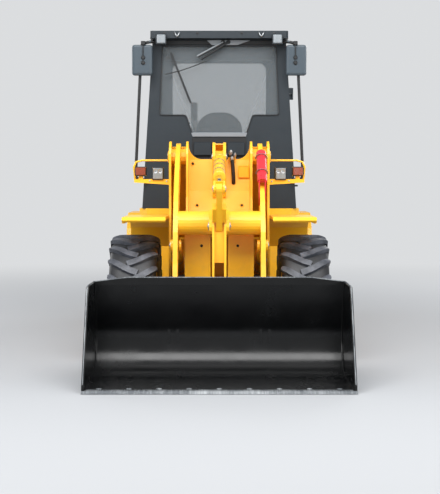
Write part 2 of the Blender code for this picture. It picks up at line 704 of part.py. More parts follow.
def bucket_shell():
    """A rolled sheet with a plate at each end, ears behind it and a guard on its top edge."""
    half = BUCKET_W / 2
    outside, inside = bucket_wall(0), bucket_wall(SHEET)
    shapes = [plate("side", [outside + inside[::-1]], -half + 0.01, half - 0.01)]
    cheek = [(0.03, BUCKET_LOW), *outside[1:], (0.39, BUCKET_TOP), (0.355, 0.70), (0.03, 0.05)]
    back = BUCKET_BACK
    for sign in (1, -1):
        shapes.append(plate("side", [cheek], *sorted((sign * (half - 0.02), sign * half))))
        for x in (ARM_X - ARM_T / 2 - RUN_GAP - 0.02, ARM_X + ARM_T / 2 + RUN_GAP):
            ear = [(back - 0.02, 0.42), *arc(BUCKET_PIN, 0.075, 60, -60, 6), (back - 0.03, 0.15)]
            shapes.append(plate("side", [ear], *sorted((sign * x, sign * (x + 0.02)))))
        for x in ((ARM_X - ARM_T / 2 - RUN_GAP - 0.005, ARM_X - ARM_T / 2 - PIN_GAP),
                  (ARM_X + ARM_T / 2 + PIN_GAP, ARM_X + ARM_T / 2 + RUN_GAP + 0.005)):
            shapes.append(bar((sign * x[0], *BUCKET_PIN), (sign * x[1], *BUCKET_PIN), 0.045))
        low = LINK_W / 2 + PIN_GAP
        ear = [(back - 0.092, TILT_PIN[1] + 0.08), *arc(TILT_PIN, 0.055, 60, -60, 6),
               (back - 0.026, TILT_PIN[1] - 0.16)]
        shapes.append(plate("side", [ear], *sorted((sign * low, sign * (low + EAR_T)))))
    guard = [(-half + 0.005, BUCKET_TOP - 0.02), (half - 0.005, BUCKET_TOP - 0.02),
             (half - 0.005, BUCKET_TOP + 0.005), (GUARD_HALF, GUARD_TOP), (-GUARD_HALF, GUARD_TOP),
             (-half + 0.005, BUCKET_TOP + 0.005)]
    shapes.append(plate("front", [guard], 0.804, 0.822))
    return joined(shapes[0], *shapes[1:])


piece("bucket_shell", "bucket", BLACK, bucket_shell())
EDGE = BUCKET_W / 2
piece("cutting_edge", "bucket", BLACK,
      plate("side", [[(0, BUCKET_LOW), (0.0295, BUCKET_LOW), (0.0295, BUCKET_LOW + 0.018), (0.02, BUCKET_LOW + 0.018)]],
            -EDGE, EDGE))


# Rear chassis --------------------------------------------------------------------

def rear_frame():
    """Two rails, a forked nose at the joint, cab risers and the steering cylinders' lugs."""
    shapes = []
    rail_low = AXLE_SEAT + SEAT_GAP
    for sign in (1, -1):
        shapes.append(block(sorted(sign * x for x in RAIL), (YOKE_BACK, WEIGHT_FRONT - SEAT_GAP),
                            (rail_low, RAIL_TOP)))
        ends = sorted(sign * x for x in (RAIL[0] + 0.005, RAIL[1] - 0.005))
        for d in (3.50, 3.98):
            shapes.append(block(ends, (d, d + 0.10), (RAIL_TOP - 0.01, CAB_FLOOR - PLATFORM_T - SEAT_GAP)))
        x = STEER_BASE[0]
        lug = [(sign * (x - 0.05), YOKE_BACK + 0.005), (sign * (x + 0.05), YOKE_BACK + 0.005),
               *arc((sign * x, STEER_BASE[1]), 0.04, 90 - sign * 90, 90 - sign * 270, 8)]
        shapes.append(plate("plan", [lug], STEER_BASE[2] - 0.075, STEER_BASE[2] - 0.036))
    shapes.append(block((-RAIL[1] + 0.001, RAIL[1] - 0.001), (YOKE_BACK - 0.01, YOKE_BACK + 0.015),
                        (0.46, RAIL_TOP - 0.005)))
    for low in (0.475, 0.975):
        lug = [*arc((0, PIVOT), 0.11, 200, 340, 8), (0.16, 3.20), (0.20, YOKE_BACK - 0.005), (-0.20, YOKE_BACK - 0.005), (-0.16, 3.20)]
        shapes.append(plate("plan", [lug], low - 0.0045, low + 0.04))
    shapes.append(block((-0.20, 0.20), (3.30, YOKE_BACK - 0.005), (0.90, 1.01)))
    for d in (4.30, 5.05):
        shapes.append(block((-RAIL[0] - 0.01, RAIL[0] + 0.01), (d, d + 0.08), (rail_low + 0.02, RAIL_TOP - 0.02)))
    return joined(shapes[0], *shapes[1:])


piece("rear_frame", "rear_chassis", YELLOW, rear_frame())
piece("engine_block", "rear_chassis", IRON,
      block((-0.34, 0.34), (4.42, 5.08), (RAIL_TOP + SEAT_GAP, 1.62)))


def counterweight():
    """The heavy cast tail, with its lower corners cut back."""
    outline = [(WEIGHT_FRONT, 0.62), (5.50, 0.62), (LENGTH, 0.80), (LENGTH, WEIGHT_TOP - 0.06),
               (LENGTH - 0.06, WEIGHT_TOP), (WEIGHT_FRONT, WEIGHT_TOP)]
    return plate("side", [outline], -0.64, 0.64)


piece("counterweight", "rear_chassis", YELLOW, counterweight())


def rear_fender(sign):
    """A mudguard over the rear tyre, hung under the platform."""
    top = CAB_FLOOR - PLATFORM_T - SEAT_GAP - 0.012
    line = [(3.47, 0.80, 0.012), (3.56, 1.06, 0.012), (3.74, top, 0.012), (4.50, top, 0.012),
            (4.66, 1.06, 0.012), (4.74, 0.84, 0.012)]
    return plate("side", [ribbon(line)], *sorted((sign * 0.46, sign * 0.94)))


def step_tank(sign):
    """A side tank under the platform with two treads cut into its outer face."""
    top = CAB_FLOOR - PLATFORM_T - SEAT_GAP
    tank = block(sorted((sign * 0.40, sign * 0.765)), (3.10, 3.43), (0.55, top))
    treads = [block(sorted((sign * 0.64, sign * 0.80)), (3.14, 3.39), (low, low + 0.17))
              for low in (0.63, 0.90)]
    return cut(tank, *treads)


for side, sign in SIDES:
    piece(f"rear_fender_{side}", "rear_chassis", YELLOW, rear_fender(sign))
    piece(f"step_tank_{side}", "rear_chassis", YELLOW, step_tank(sign))


# Cab -----------------------------------------------------------------------------

def leaned(obj, sign):
    """Lean an upright side panel inwards to the cab's taper; x is depth from its outer face."""
    for vert in obj.data.vertices:
        vert.co.x = sign * (cab_half(vert.co.z) - vert.co.x)
    if sign > 0:
        obj.data.flip_normals()
    return obj


PLATFORM_LOW = CAB_FLOOR - PLATFORM_T
piece("cab_floor", "rear_chassis", YELLOW,
      plate("plan", [[(-0.70, 2.96), (0.70, 2.96), (PLATFORM_HALF, 3.04), (PLATFORM_HALF, 4.22),
                      (-PLATFORM_HALF, 4.22), (-PLATFORM_HALF, 3.04)]], PLATFORM_LOW, CAB_FLOOR))

SILL = CAB_FLOOR + SEAT_GAP
EAVES = CAB_EAVES - SEAT_GAP
SCREEN = [(-0.26, 2.00), (0.26, 2.00), (0.32, 2.18), (0.575, 2.18), (0.545, 2.84), (-0.545, 2.84),
          (-0.575, 2.18), (-0.32, 2.18)]


def front_wall():
    """The cab's front: lower panel and corner posts round a screen that dips between the arms."""
    outline = [(-cab_half(SILL), SILL), (cab_half(SILL), SILL), (cab_half(EAVES), EAVES),
               (-cab_half(EAVES), EAVES)]
    return plate("front", [outline, SCREEN], CAB_FRONT, CAB_FRONT + WALL)


piece("cab_front_wall", "rear_chassis", CAB_PAINT, front_wall())
piece("windshield", "rear_chassis", GLAZING,
      plate("front", [inset(SCREEN, 0.0006)], CAB_FRONT + 0.012, CAB_FRONT + 0.012 + GLASS))

DOOR_FRONT = CAB_FRONT + WALL + RUN_GAP + 0.001
DOOR_LOW = CAB_FLOOR + 0.007
DOOR_TOP = CAB_EAVES - 0.007
BACK_FACE = CAB_BACK - WALL


def side_outline(front, back, low, high):
    return [(front, low), (back, low), (back, high), (front, high)]


def window_outline(front, back, low, high):
    """A window with chamfered corners."""
    c = 0.05
    return [(front + c, low), (back - c, low), (back, low + c), (back, high - c), (back - c, high),
            (front + c, high), (front, high - c), (front, low + c)]


def rear_wall():
    """The cab's back panel with a window, and the two corner posts that the sides close on."""
    window = window_outline(-0.50, 0.50, 2.02, 2.80)
    outline = [(-cab_half(SILL), SILL), (cab_half(SILL), SILL), (cab_half(EAVES), EAVES),
               (-cab_half(EAVES), EAVES)]
    shapes = [plate("front", [outline, window], BACK_FACE, CAB_BACK)]
    for sign in (1, -1):
        post = plate("side", [side_outline(DOOR_BACK + 0.006, BACK_FACE + 0.01, SILL, EAVES)], 0, WALL)
        shapes.append(leaned(post, sign))
    knuckle = place("cab_door")
    for low in (1.60, 2.40):
        leaf = block((cab_half(low) - 0.03, knuckle.x), (DOOR_BACK + 0.007, DOOR_BACK + 0.03), (low, low + 0.06))
        shapes.append(leaf)
        shapes.append(bar((knuckle.x, DOOR_BACK + 0.003 + 0.010, low), (knuckle.x, DOOR_BACK + 0.003 + 0.010, low + 0.06), 0.012, 8))
    for sign in (1, -1):
        shapes.append(block(sorted((sign * 0.385, sign * 0.42)), (CAB_BACK - 0.01, HOOD_FRONT),
                            (HOOD_TOP - 0.02, HOOD_TOP + 0.02)))
    return joined(shapes[0], *shapes[1:])


piece("cab_rear_wall", "rear_chassis", CAB_PAINT, rear_wall())
piece("rear_window", "rear_chassis", GLAZING,
      plate("front", [inset(window_outline(-0.50, 0.50, 2.02, 2.80), 0.0006)],
            CAB_BACK - 0.03, CAB_BACK - 0.03 + GLASS))

RIGHT_FRONT = CAB_FRONT + WALL + SEAT_GAP
SIDE_WINDOW = window_outline(RIGHT_FRONT + 0.07, DOOR_BACK - 0.08, 1.72, 2.80)
piece("cab_side_right", "rear_chassis", CAB_PAINT,
      leaned(plate("side", [side_outline(RIGHT_FRONT, DOOR_BACK + 0.006 - SEAT_GAP, SILL, EAVES), SIDE_WINDOW],
                   0, WALL), -1))
piece("side_window_right", "rear_chassis", GLAZING,
      leaned(plate("side", [inset(SIDE_WINDOW, 0.0006)], 0.015, 0.015 + GLASS), -1))

DOOR_WINDOW = window_outline(DOOR_FRONT + 0.07, DOOR_BACK - 0.08, 1.62, 2.79)


def cab_door():
    """The door: one pressed frame with a deep window, hinged on its rear edge."""
    panel = leaned(plate("side", [side_outline(DOOR_FRONT, DOOR_BACK, DOOR_LOW, DOOR_TOP), DOOR_WINDOW],
                         0, WALL), 1)
    knuckle = place("cab_door")
    shapes = []
    for low in (1.6605, 2.4605):
        shapes.append(block((cab_half(low) - 0.03, knuckle.x), (DOOR_BACK - 0.03, DOOR_BACK - 0.001),
                            (low, low + 0.06)))
        shapes.append(bar((knuckle.x, DOOR_BACK - 0.003, low), (knuckle.x, DOOR_BACK - 0.003, low + 0.06), 0.012, 8))
    return joined(panel, *shapes)


piece("cab_door", "cab_door", CAB_PAINT, cab_door())
piece("door_window", "cab_door", GLAZING,
      leaned(plate("side", [inset(DOOR_WINDOW, 0.0006)], 0.015, 0.015 + GLASS), 1))


def cab_roof():
    """The roof cap with its front overhang and two square work lamps."""
    front, back = 2.85, 4.25
    outline = [(-0.656, front + 0.02), (-0.636, front), (0.636, front), (0.656, front + 0.02),
               (0.656, back - 0.03), (0.62, back), (-0.62, back), (-0.656, back - 0.03)]
    slab = plate("plan", [outline], CAB_EAVES, CAB_TOP)
    lamps = []
    for x in (-0.551, 0.551):
        lamps.append(block((x - 0.048, x + 0.048), (front - 0.055, front + 0.005), (2.84, 2.935)))
    return joined(slab, *lamps)


piece("cab_roof", "rear_chassis", CAB_PAINT, cab_roof())

piece("seat_base", "rear_chassis", IRON, block((-0.20, 0.20), (3.46, 3.86), (SILL, 1.56)))
piece("seat_cushion", "rear_chassis", VINYL,
      block((-0.25, 0.25), (3.40, 3.88), (1.56 + SEAT_GAP, 1.68)))


def seat_back():
    outline = [(-0.24, 1.68 + SEAT_GAP), (0.24, 1.68 + SEAT_GAP), (0.235, 2.05), *arc((0, 2.02), 0.24, 30, 150, 8),
               (-0.235, 2.05)]
    return plate("front", [outline], 3.78, 3.88)


piece("seat_back", "rear_chassis", VINYL, seat_back())


def steering_column():
    """The column, leaning back to a thin wheel."""
    post = bar((0, 3.16, SILL), (0, 3.16, 1.60), 0.05, 12)
    neck = bar((0, 3.16, 1.55), (0, 3.26, 1.90), 0.03, 12)
    wheel = bar((0, 3.252, 1.885), (0, 3.268, 1.915), 0.18, 20)
    return joined(post, neck, wheel)


piece("steering_column", "rear_chassis", IRON, steering_column())


def mirror(sign):
    """A mirror shell on a long bent stay from the roof's corner to the cab's lower corner."""
    d = 2.875
    wall = CAB_FRONT - SEAT_GAP
    route = [(0.60, wall, 2.868), (0.60, 2.90, 2.868), (0.66, d, 2.868), (0.735, d, 2.85),
             (0.743, d, 2.80), (0.800, d, 1.62), (0.797, d, 1.58), (0.775, d + 0.01, 1.56),
             (0.70, wall - 0.05, 1.555), (0.69, wall - 0.03, 1.555), (0.69, wall, 1.555)]
    stay = tube([(sign * x, y, h) for x, y, h in route], 0.0135)
    shell = block(sorted((sign * 0.634, sign * 0.829)), (d - 0.060, d - 0.005), (2.545, 2.836))
    bevel = shell.modifiers.new("corners", "BEVEL")
    bevel.width = 0.024
    bevel.segments = 2
    return joined(shell, stay)


for side, sign in SIDES:
    piece(f"mirror_{side}", "rear_chassis", PLASTIC, mirror(sign))


# Hood ----------------------------------------------------------------------------

def engine_hood():
    """A cover open in front and below, hinged at its top front edge."""
    low = WEIGHT_TOP + RUN_GAP + 0.003
    half, wall = HOOD_HALF, HOOD_WALL
    shapes = [plate("front", [[(-half, low), (-half + wall, low), (-half + wall, HOOD_TOP - 0.07),
                               (-half + 0.07, HOOD_TOP - wall), (half - 0.07, HOOD_TOP - wall),
                               (half - wall, HOOD_TOP - 0.07), (half - wall, low), (half, low),
                               (half, HOOD_TOP - 0.06), (half - 0.05, HOOD_TOP), (-half + 0.05, HOOD_TOP),
                               (-half, HOOD_TOP - 0.06)]], HOOD_FRONT + 0.03, HOOD_BACK)]
    shapes.append(block((-half + 0.01, half - 0.01), (HOOD_BACK - wall, HOOD_BACK - 0.002), (low, HOOD_TOP - 0.04)))
    for sign in (1, -1):
        x = sorted((sign * 0.35, sign * (0.385 - PIN_GAP)))
        shapes.append(block(x, (HOOD_FRONT - 0.01, HOOD_FRONT + 0.05), (HOOD_TOP - 0.025, HOOD_TOP - 0.005)))
    return joined(shapes[0], *shapes[1:])


piece("engine_hood", "engine_hood", YELLOW, engine_hood())
piece("exhaust_stack", "engine_hood", BLACK,
      bar((-0.28, 4.75, HOOD_TOP + SEAT_GAP), (-0.28, 4.75, 2.42), 0.038, 16))
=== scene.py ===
"""Compact articulated wheel loader: the looks of every piece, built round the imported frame.

Metres, +Z up. The bucket faces -Y and +X is the operator's left. Side places are
written (d, h): d runs back from the bucket's cutting edge and h up from the floor.
"""
import json
import math

import bmesh
import bpy
import numpy as np
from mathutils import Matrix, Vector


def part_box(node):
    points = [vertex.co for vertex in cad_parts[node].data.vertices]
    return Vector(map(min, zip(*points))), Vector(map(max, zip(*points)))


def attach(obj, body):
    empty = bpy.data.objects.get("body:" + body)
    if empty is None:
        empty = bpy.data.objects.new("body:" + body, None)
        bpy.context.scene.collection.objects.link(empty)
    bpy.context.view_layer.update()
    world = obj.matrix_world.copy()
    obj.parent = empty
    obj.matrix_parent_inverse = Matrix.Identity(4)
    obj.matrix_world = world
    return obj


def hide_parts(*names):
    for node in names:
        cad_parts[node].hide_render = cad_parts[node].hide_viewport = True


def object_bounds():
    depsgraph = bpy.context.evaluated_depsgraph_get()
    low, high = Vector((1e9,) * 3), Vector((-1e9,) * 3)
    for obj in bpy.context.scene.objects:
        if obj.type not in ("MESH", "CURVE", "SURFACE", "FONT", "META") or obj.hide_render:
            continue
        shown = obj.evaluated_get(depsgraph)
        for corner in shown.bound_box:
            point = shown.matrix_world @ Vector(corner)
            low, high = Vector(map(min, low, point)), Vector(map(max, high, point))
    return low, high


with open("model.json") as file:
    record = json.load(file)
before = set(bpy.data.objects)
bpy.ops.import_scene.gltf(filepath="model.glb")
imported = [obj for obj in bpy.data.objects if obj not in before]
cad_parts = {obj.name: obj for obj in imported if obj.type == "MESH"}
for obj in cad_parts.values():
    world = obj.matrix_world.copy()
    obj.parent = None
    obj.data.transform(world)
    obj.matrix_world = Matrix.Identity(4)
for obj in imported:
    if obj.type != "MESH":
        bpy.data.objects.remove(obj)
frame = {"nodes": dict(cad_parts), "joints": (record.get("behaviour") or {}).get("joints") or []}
cad_box = [list(corner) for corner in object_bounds()]
nodes = frame["nodes"]
joint_place = {joint["name"]: joint["pos_m"] for joint in frame["joints"] if "pos_m" in joint}

# Studio ---------------------------------------------------------------------------
# A wide pale floor in an evenly lit room, a long strip lamp above and ahead of the
# bucket, soft lamps on each side, and a camera at bumper height looking straight on.

EDGE_Y = cad_box[0][1]                   # Y of the bucket's cutting edge
SIDES = (("left", 1), ("right", -1))


def linear(hex_colour):
    """The linear RGBA of an sRGB hex colour: each channel is ((c + 0.055) / 1.055) ^ 2.4."""
    channels = np.array([int(hex_colour[i:i + 2], 16) / 255 for i in (1, 3, 5)])
    return (*np.where(channels < 0.04045, channels / 12.92, ((channels + 0.055) / 1.055) ** 2.4), 1.0)


def wire(tree, node, sockets):
    """Set a node's inputs; sockets maps each one to a value or to another node's output."""
    for name, value in sockets.items():
        if isinstance(value, bpy.types.NodeSocket):
            tree.links.new(value, node.inputs[name])
        else:
            node.inputs[name].default_value = value


def add_node(tree, kind, sockets=None, **settings):
    """Add a node with its settings and its inputs."""
    made = tree.nodes.new(kind)
    for name, value in settings.items():
        setattr(made, name, value)
    wire(tree, made, sockets or {})
    return made


def new_finish(name):
    """A material with its default nodes, its tree and its shader."""
    material = bpy.data.materials.new(name)
    material.use_nodes = True
    return material, material.node_tree, material.node_tree.nodes["Principled BSDF"]


FLOOR_HALF = 60.0
floor_mesh = bpy.data.meshes.new("studio_floor")
floor_mesh.from_pydata([(FLOOR_HALF * x, FLOOR_HALF * y, 0) for x, y in ((-1, -1), (1, -1), (1, 1), (-1, 1))],
                       [], [(0, 1, 2, 3)])
studio_floor = bpy.data.objects.new("studio_floor", floor_mesh)
bpy.context.scene.collection.objects.link(studio_floor)
# Matt emulsion on board: pale and even, with no shine to speak of.
floor_paint, floor_tree, floor_shader = new_finish("matt_emulsion")
wire(floor_tree, floor_shader, {"Base Color": linear("#A6A8AB"), "Roughness": 0.85})
# From 2.5 m out the floor melts into the room's own glow, so that no horizon shows.
ROOM_COLOUR, ROOM_GLOW = linear("#F2F4F6"), 0.80
floor_place = add_node(floor_tree, "ShaderNodeTexCoord").outputs["Object"]
floor_reach = add_node(floor_tree, "ShaderNodeVectorMath", {0: floor_place}, operation="LENGTH").outputs["Value"]
floor_fade = add_node(floor_tree, "ShaderNodeMapRange", {
    "Value": floor_reach, "From Min": 2.5, "From Max": 12.0}, interpolation_type="SMOOTHSTEP").outputs["Result"]
floor_glow = add_node(floor_tree, "ShaderNodeEmission", {"Color": ROOM_COLOUR, "Strength": ROOM_GLOW})
floor_blend = add_node(floor_tree, "ShaderNodeMixShader", {
    0: floor_fade, 1: floor_shader.outputs["BSDF"], 2: floor_glow.outputs["Emission"]})
wire(floor_tree, floor_tree.nodes["Material Output"], {"Surface": floor_blend.outputs["Shader"]})
floor_mesh.materials.append(floor_paint)

world = bpy.data.worlds.new("soft_room")
world.use_nodes = True
wire(world.node_tree, world.node_tree.nodes["Background"], {"Color": ROOM_COLOUR, "Strength": ROOM_GLOW})
bpy.context.scene.world = world
bpy.context.scene.view_settings.view_transform = "Standard"

for lamp_name, spot, target, size, power in (
        ("strip_softbox", (0.0, -6.2, 7.4), (0, -2.0, 0.15), (9.0, 3.4), 820),
        ("key_softbox", (-4.5, -7.5, 4.5), (0, -0.8, 1.0), (3.5, 3.5), 150),
        ("fill_softbox", (6.0, -6.5, 3.0), (0, 0, 1.0), (3.5, 3.5), 140),
        ("tail_softbox", (5.0, 7.5, 4.5), (0, 1.0, 1.2), (3.5, 3.5), 200),
        ("flank_softbox", (-7.0, 3.5, 3.5), (0, 1.0, 1.2), (3.0, 3.0), 130)):
    lamp_data = bpy.data.lights.new(lamp_name, "AREA")
    lamp_data.shape = "RECTANGLE"
    lamp_data.size, lamp_data.size_y, lamp_data.energy = *size, power
    lamp = bpy.data.objects.new(lamp_name, lamp_data)
    lamp.location = spot
    aim = np.array(target, float) - spot
    lamp.rotation_euler = (math.pi / 2 + math.asin(aim[2] / np.linalg.norm(aim)), 0, math.atan2(-aim[0], aim[1]))
    bpy.context.scene.collection.objects.link(lamp)

EYE_HEIGHT, EYE_BACK, EYE_PITCH = 1.52, 8.40, 3.09
camera_data = bpy.data.cameras.new("front_camera")
camera_data.lens = 85.6
camera_data.shift_x = 0.0015
camera = bpy.data.objects.new("front_camera", camera_data)
camera.location = (0, EDGE_Y - EYE_BACK, EYE_HEIGHT)
camera.rotation_euler = (math.radians(90 - EYE_PITCH), 0, 0)
bpy.context.scene.collection.objects.link(camera)
bpy.context.scene.camera = camera

# Frames and body panels -----------------------------------------------------------
# Welded and pressed mild steel: two half frames, mudguards, platform, hood and the
# cast tail. All of it is shot with one coat of yellow alkyd enamel.


def noise(tree, place, scale, detail, roughness=0.5):
    """Fractal noise over a place, 0 to 1."""
    return add_node(tree, "ShaderNodeTexNoise", {
        "Vector": place, "Scale": scale, "Detail": detail, "Roughness": roughness}).outputs["Fac"]


def remap(tree, value, come=(0.0, 1.0), go=(0.0, 1.0)):
    """A value taken from one range to another and held inside it."""
    return add_node(tree, "ShaderNodeMapRange", {
        "Value": value, "From Min": come[0], "From Max": come[1],
        "To Min": go[0], "To Max": go[1]}).outputs["Result"]


def blend(tree, share, first, second):
    """Two colours mixed, with share of the second."""
    return add_node(tree, "ShaderNodeMix", {"Factor": share, 6: first, 7: second}, data_type="RGBA").outputs[2]


def emboss(tree, shader, height, strength, distance):
    """Give a shader relief from a height."""
    bump = add_node(tree, "ShaderNodeBump", {"Height": height, "Strength": strength, "Distance": distance})
    wire(tree, shader, {"Normal": bump.outputs["Normal"]})


def object_place(tree):
    """The surface point in the piece's own axes."""
    return add_node(tree, "ShaderNodeTexCoord").outputs["Object"]


def plain(name, colour, roughness, metallic=0.0):
    """An even finish of one colour."""
    material, tree, shader = new_finish(name)
    wire(tree, shader, {"Base Color": linear(colour), "Roughness": roughness, "Metallic": metallic})
    return material


def enamel(name, colour, roughness, dust="#9A8250", dust_share=0.12, coat=0.12):
    """Sprayed enamel on steel. Its colour drifts by a few percent over half a metre, road
    dust gathers in soft patches that thin out with height, and orange peel ripples it."""
    material, tree, shader = new_finish(name)
    place = object_place(tree)
    tint = add_node(tree, "ShaderNodeHueSaturation", {
        "Color": linear(colour), "Value": remap(tree, noise(tree, place, 2.2, 3.0), (0.3, 0.7), (0.94, 1.05))})
    smear = noise(tree, place, 9.0, 6.0, 0.62)
    height = add_node(tree, "ShaderNodeSeparateXYZ", {"Vector": place}).outputs["Z"]
    low = remap(tree, height, (0.1, 1.3), (dust_share * 2.2, dust_share * 0.35))
    share = add_node(tree, "ShaderNodeMath", {0: low, 1: remap(tree, smear, (0.46, 0.68))}, operation="MULTIPLY")
    dusty = blend(tree, share.outputs["Value"], tint.outputs["Color"], linear(dust))
    rough = remap(tree, smear, (0.35, 0.7), (roughness - 0.06, roughness + 0.14))
    wire(tree, shader, {"Base Color": dusty, "Roughness": rough, "Coat Weight": coat, "Coat Roughness": 0.12})
    # Orange peel is about 2 mm across; it is drawn at 7 mm so that it shows.
    emboss(tree, shader, noise(tree, place, 140.0, 1.0), 0.12, 0.0006)
    return material


def finish_nodes(material, *names):
    """Give CAD nodes a finish."""
    for name in names:
        data = nodes[name].data
        data.materials.clear()
        data.materials.append(material)


YELLOW, CHROME = "#FCBD22", "#D4D7DA"
yellow_enamel = enamel("yellow_alkyd_enamel", YELLOW, 0.42)
finish_nodes(
    yellow_enamel, "front_frame", "front_fender_left", "front_fender_right", "lamp_bracket_left",
    "lamp_bracket_right", "rear_frame", "rear_fender_left", "rear_fender_right", "step_tank_left",
    "step_tank_right", "cab_floor", "counterweight", "engine_hood", "lift_arm_left", "lift_arm_right",
    "boom_cross_tube", "bell_crank", "bucket_link", "tilt_cylinder", "lift_cylinder_left",
    "lift_cylinder_right", "steering_cylinder_left", "steering_cylinder_right")


def skin(name, body, material, grids, loop=False, angle=35):
    """Skin grids shaped (copies, rows, round, 3): quads join each row's closed ring of points
    to the next row's, and flat ends close the first and last rows unless the rows loop."""
    grids = np.asarray(grids, float)
    grids = grids[None] if grids.ndim == 3 else grids
    index = np.arange(grids[..., 0].size).reshape(grids.shape[:3])
    low, high = (index, np.roll(index, -1, 1)) if loop else (index[:, :-1], index[:, 1:])
    faces = np.stack([low, np.roll(low, -1, 2), np.roll(high, -1, 2), high], -1).reshape(-1, 4).tolist()
    if not loop:
        faces += index[:, 0].tolist() + index[:, -1].tolist()
    mesh = bpy.data.meshes.new(name)
    mesh.from_pydata(grids.reshape(-1, 3).tolist(), [], faces)
    work = bmesh.new()
    work.from_mesh(mesh)
    bmesh.ops.remove_doubles(work, verts=work.verts, dist=0.00002)
    bmesh.ops.recalc_face_normals(work, faces=work.faces)
    work.to_mesh(mesh)
    work.free()
    mesh.shade_smooth()
    mesh.set_sharp_from_angle(angle=math.radians(angle))
    mesh.materials.append(material)
    piece = bpy.data.objects.new(name, mesh)
    bpy.context.scene.collection.objects.link(piece)
    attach(piece, body)
    return piece


def unit(vectors):
    """Vectors divided by their lengths."""
    return vectors / np.linalg.norm(vectors, axis=-1, keepdims=True)


def turned(profile, centre, axis, around=32, start=0.0):
    """A profile of (distance along, radius) points turned about an axis through centre:
    point = centre + along * axis + radius * (cos t * u + sin t * v), with u and v square to it."""
    profile, axis = np.asarray(profile, float), unit(np.asarray(axis, float))
    u = unit(np.cross(axis, (0.0, 1.0, 0.0) if abs(axis[1]) < 0.9 else (1.0, 0.0, 0.0)))
    v = np.cross(axis, u)
    t = start + np.linspace(0, 2 * math.pi, around, endpoint=False)[:, None]
    ring = np.cos(t) * u + np.sin(t) * v
    return np.asarray(centre, float) + profile[:, None, :1] * axis + profile[:, None, 1:] * ring


def at(x, d, h):
    """World point of (x, d, h)."""
    return np.array([x, d + EDGE_Y, h])


def route(points, radius=0.0, steps=6, closed=False):
    """A line through (x, d, h) points with its corners rounded: each corner C becomes the
    curve (1 - t)^2 A + 2 t (1 - t) C + t^2 B, where A and B lie radius away along its sides."""
    points = np.asarray(points, float) + (0, EDGE_Y, 0)
    if radius == 0:
        return points
    before, after = np.roll(points, 1, 0), np.roll(points, -1, 0)
    corner = points if closed else points[1:-1]
    before, after = (before, after) if closed else (before[1:-1], after[1:-1])
    reach_a = np.minimum(radius, 0.49 * np.linalg.norm(before - corner, axis=1))[:, None]
    reach_b = np.minimum(radius, 0.49 * np.linalg.norm(after - corner, axis=1))[:, None]
    a, b = corner + unit(before - corner) * reach_a, corner + unit(after - corner) * reach_b
    t = np.linspace(0, 1, steps + 1)[None, :, None]
    bends = (1 - t) ** 2 * a[:, None] + 2 * t * (1 - t) * corner[:, None] + t ** 2 * b[:, None]
    bends = bends.reshape(-1, 3)
    return bends if closed else np.concatenate([points[:1], bends, points[-1:]])


def carried(section, path, closed=False, up=(0.0, 0.0, 1.0)):
    """A section of (side, out) points carried along a path: side is square to the path and
    to up, and out is square to both."""
    path, section = np.asarray(path, float), np.asarray(section, float)
    ahead = np.roll(path, -1, 0) - np.roll(path, 1, 0) if closed else np.gradient(path, axis=0)
    side = unit(np.cross(ahead, up))
    out = unit(np.cross(side, ahead))
    return path[:, None] + section[:, :1] * side[:, None] + section[:, 1:] * out[:, None]


def round_section(radius, around=10):
    """Points on a circle."""
    t = np.linspace(0, 2 * math.pi, around, endpoint=False)
    return np.stack([radius * np.cos(t), radius * np.sin(t)], 1)


def pressed(outline, low, high, edge, view, corner=0.0):
    """A flat plate with eased edges: four rings, the outer two drawn in by edge. View says
    what the outline's pairs are: side (d, h), front (x, h) or plan (x, d)."""
    outline = np.asarray(outline, float)
    if corner:
        flat = np.stack([outline[:, 0], np.zeros(len(outline)), outline[:, 1]], 1) - (0, EDGE_Y, 0)
        outline = route(flat, corner, 4, closed=True)[:, ::2]
    ahead, behind = unit(np.roll(outline, -1, 0) - outline), unit(outline - np.roll(outline, 1, 0))
    area = np.sum(outline[:, 0] * np.roll(outline[:, 1], -1) - np.roll(outline[:, 0], -1) * outline[:, 1])
    normal = unit((ahead + behind)[:, ::-1] * (-1, 1)) * (1 if area > 0 else -1)
    share = np.clip(np.sum(normal * ahead[:, ::-1] * (-1, 1), 1) * (1 if area > 0 else -1), 0.5, 1)
    inner = outline + normal * edge / share[:, None]
    rings = np.stack([inner, outline, outline, inner])
    level = np.broadcast_to(np.array([low, low + edge, high - edge, high])[:, None], rings.shape[:2])
    u, v = rings[..., 0], rings[..., 1]
    if view == "side":
        return np.stack([level, u + EDGE_Y, v], -1)
    if view == "front":
        return np.stack([u, level + EDGE_Y, v], -1)
    return np.stack([u, v + EDGE_Y, level], -1)


def oblong(u, v):
    """The four corners of a rectangle between two values of u and of v."""
    return [(u[0], v[0]), (u[1], v[0]), (u[1], v[1]), (u[0], v[1])]


def flat_section(side, out):
    """A rectangular section, given half its sizes."""
    return oblong((-side, side), (-out, out))


def tube(radius, around, points, corner=0.0, up=(0.0, 0.0, 1.0)):
    """A round bar along (x, d, h) points with its corners bent."""
    return carried(round_section(radius, around), route(points, corner), up=up)


def hoop(name, body, material, section, points, corner, up=(0.0, 0.0, 1.0)):
    """Skin a section carried round a closed line of (x, d, h) corners."""
    line = route(points, corner, closed=True)
    return skin(name, body, material, carried(section, line, closed=True, up=up), loop=True)


def side_line(x, points):
    """World points of (d, h) points that all lie at one x."""
    return np.insert(np.asarray(points, float), 0, x, axis=1) + (0, EDGE_Y, 0)


def span(sign, near, far):
    """The two values of x between near and far on one side, the smaller one first."""
    return sorted((sign * near, sign * far))


def pin_place(joint):
    """(d, h) of a joint's pin."""
    return joint_place[joint][1] - EDGE_Y, joint_place[joint][2]


def circle_in_side(x, y, z, radius, turns):
    """World points on a circle about a line along X."""
    return [(x, y + radius * math.cos(t), z + radius * math.sin(t)) for t in turns]


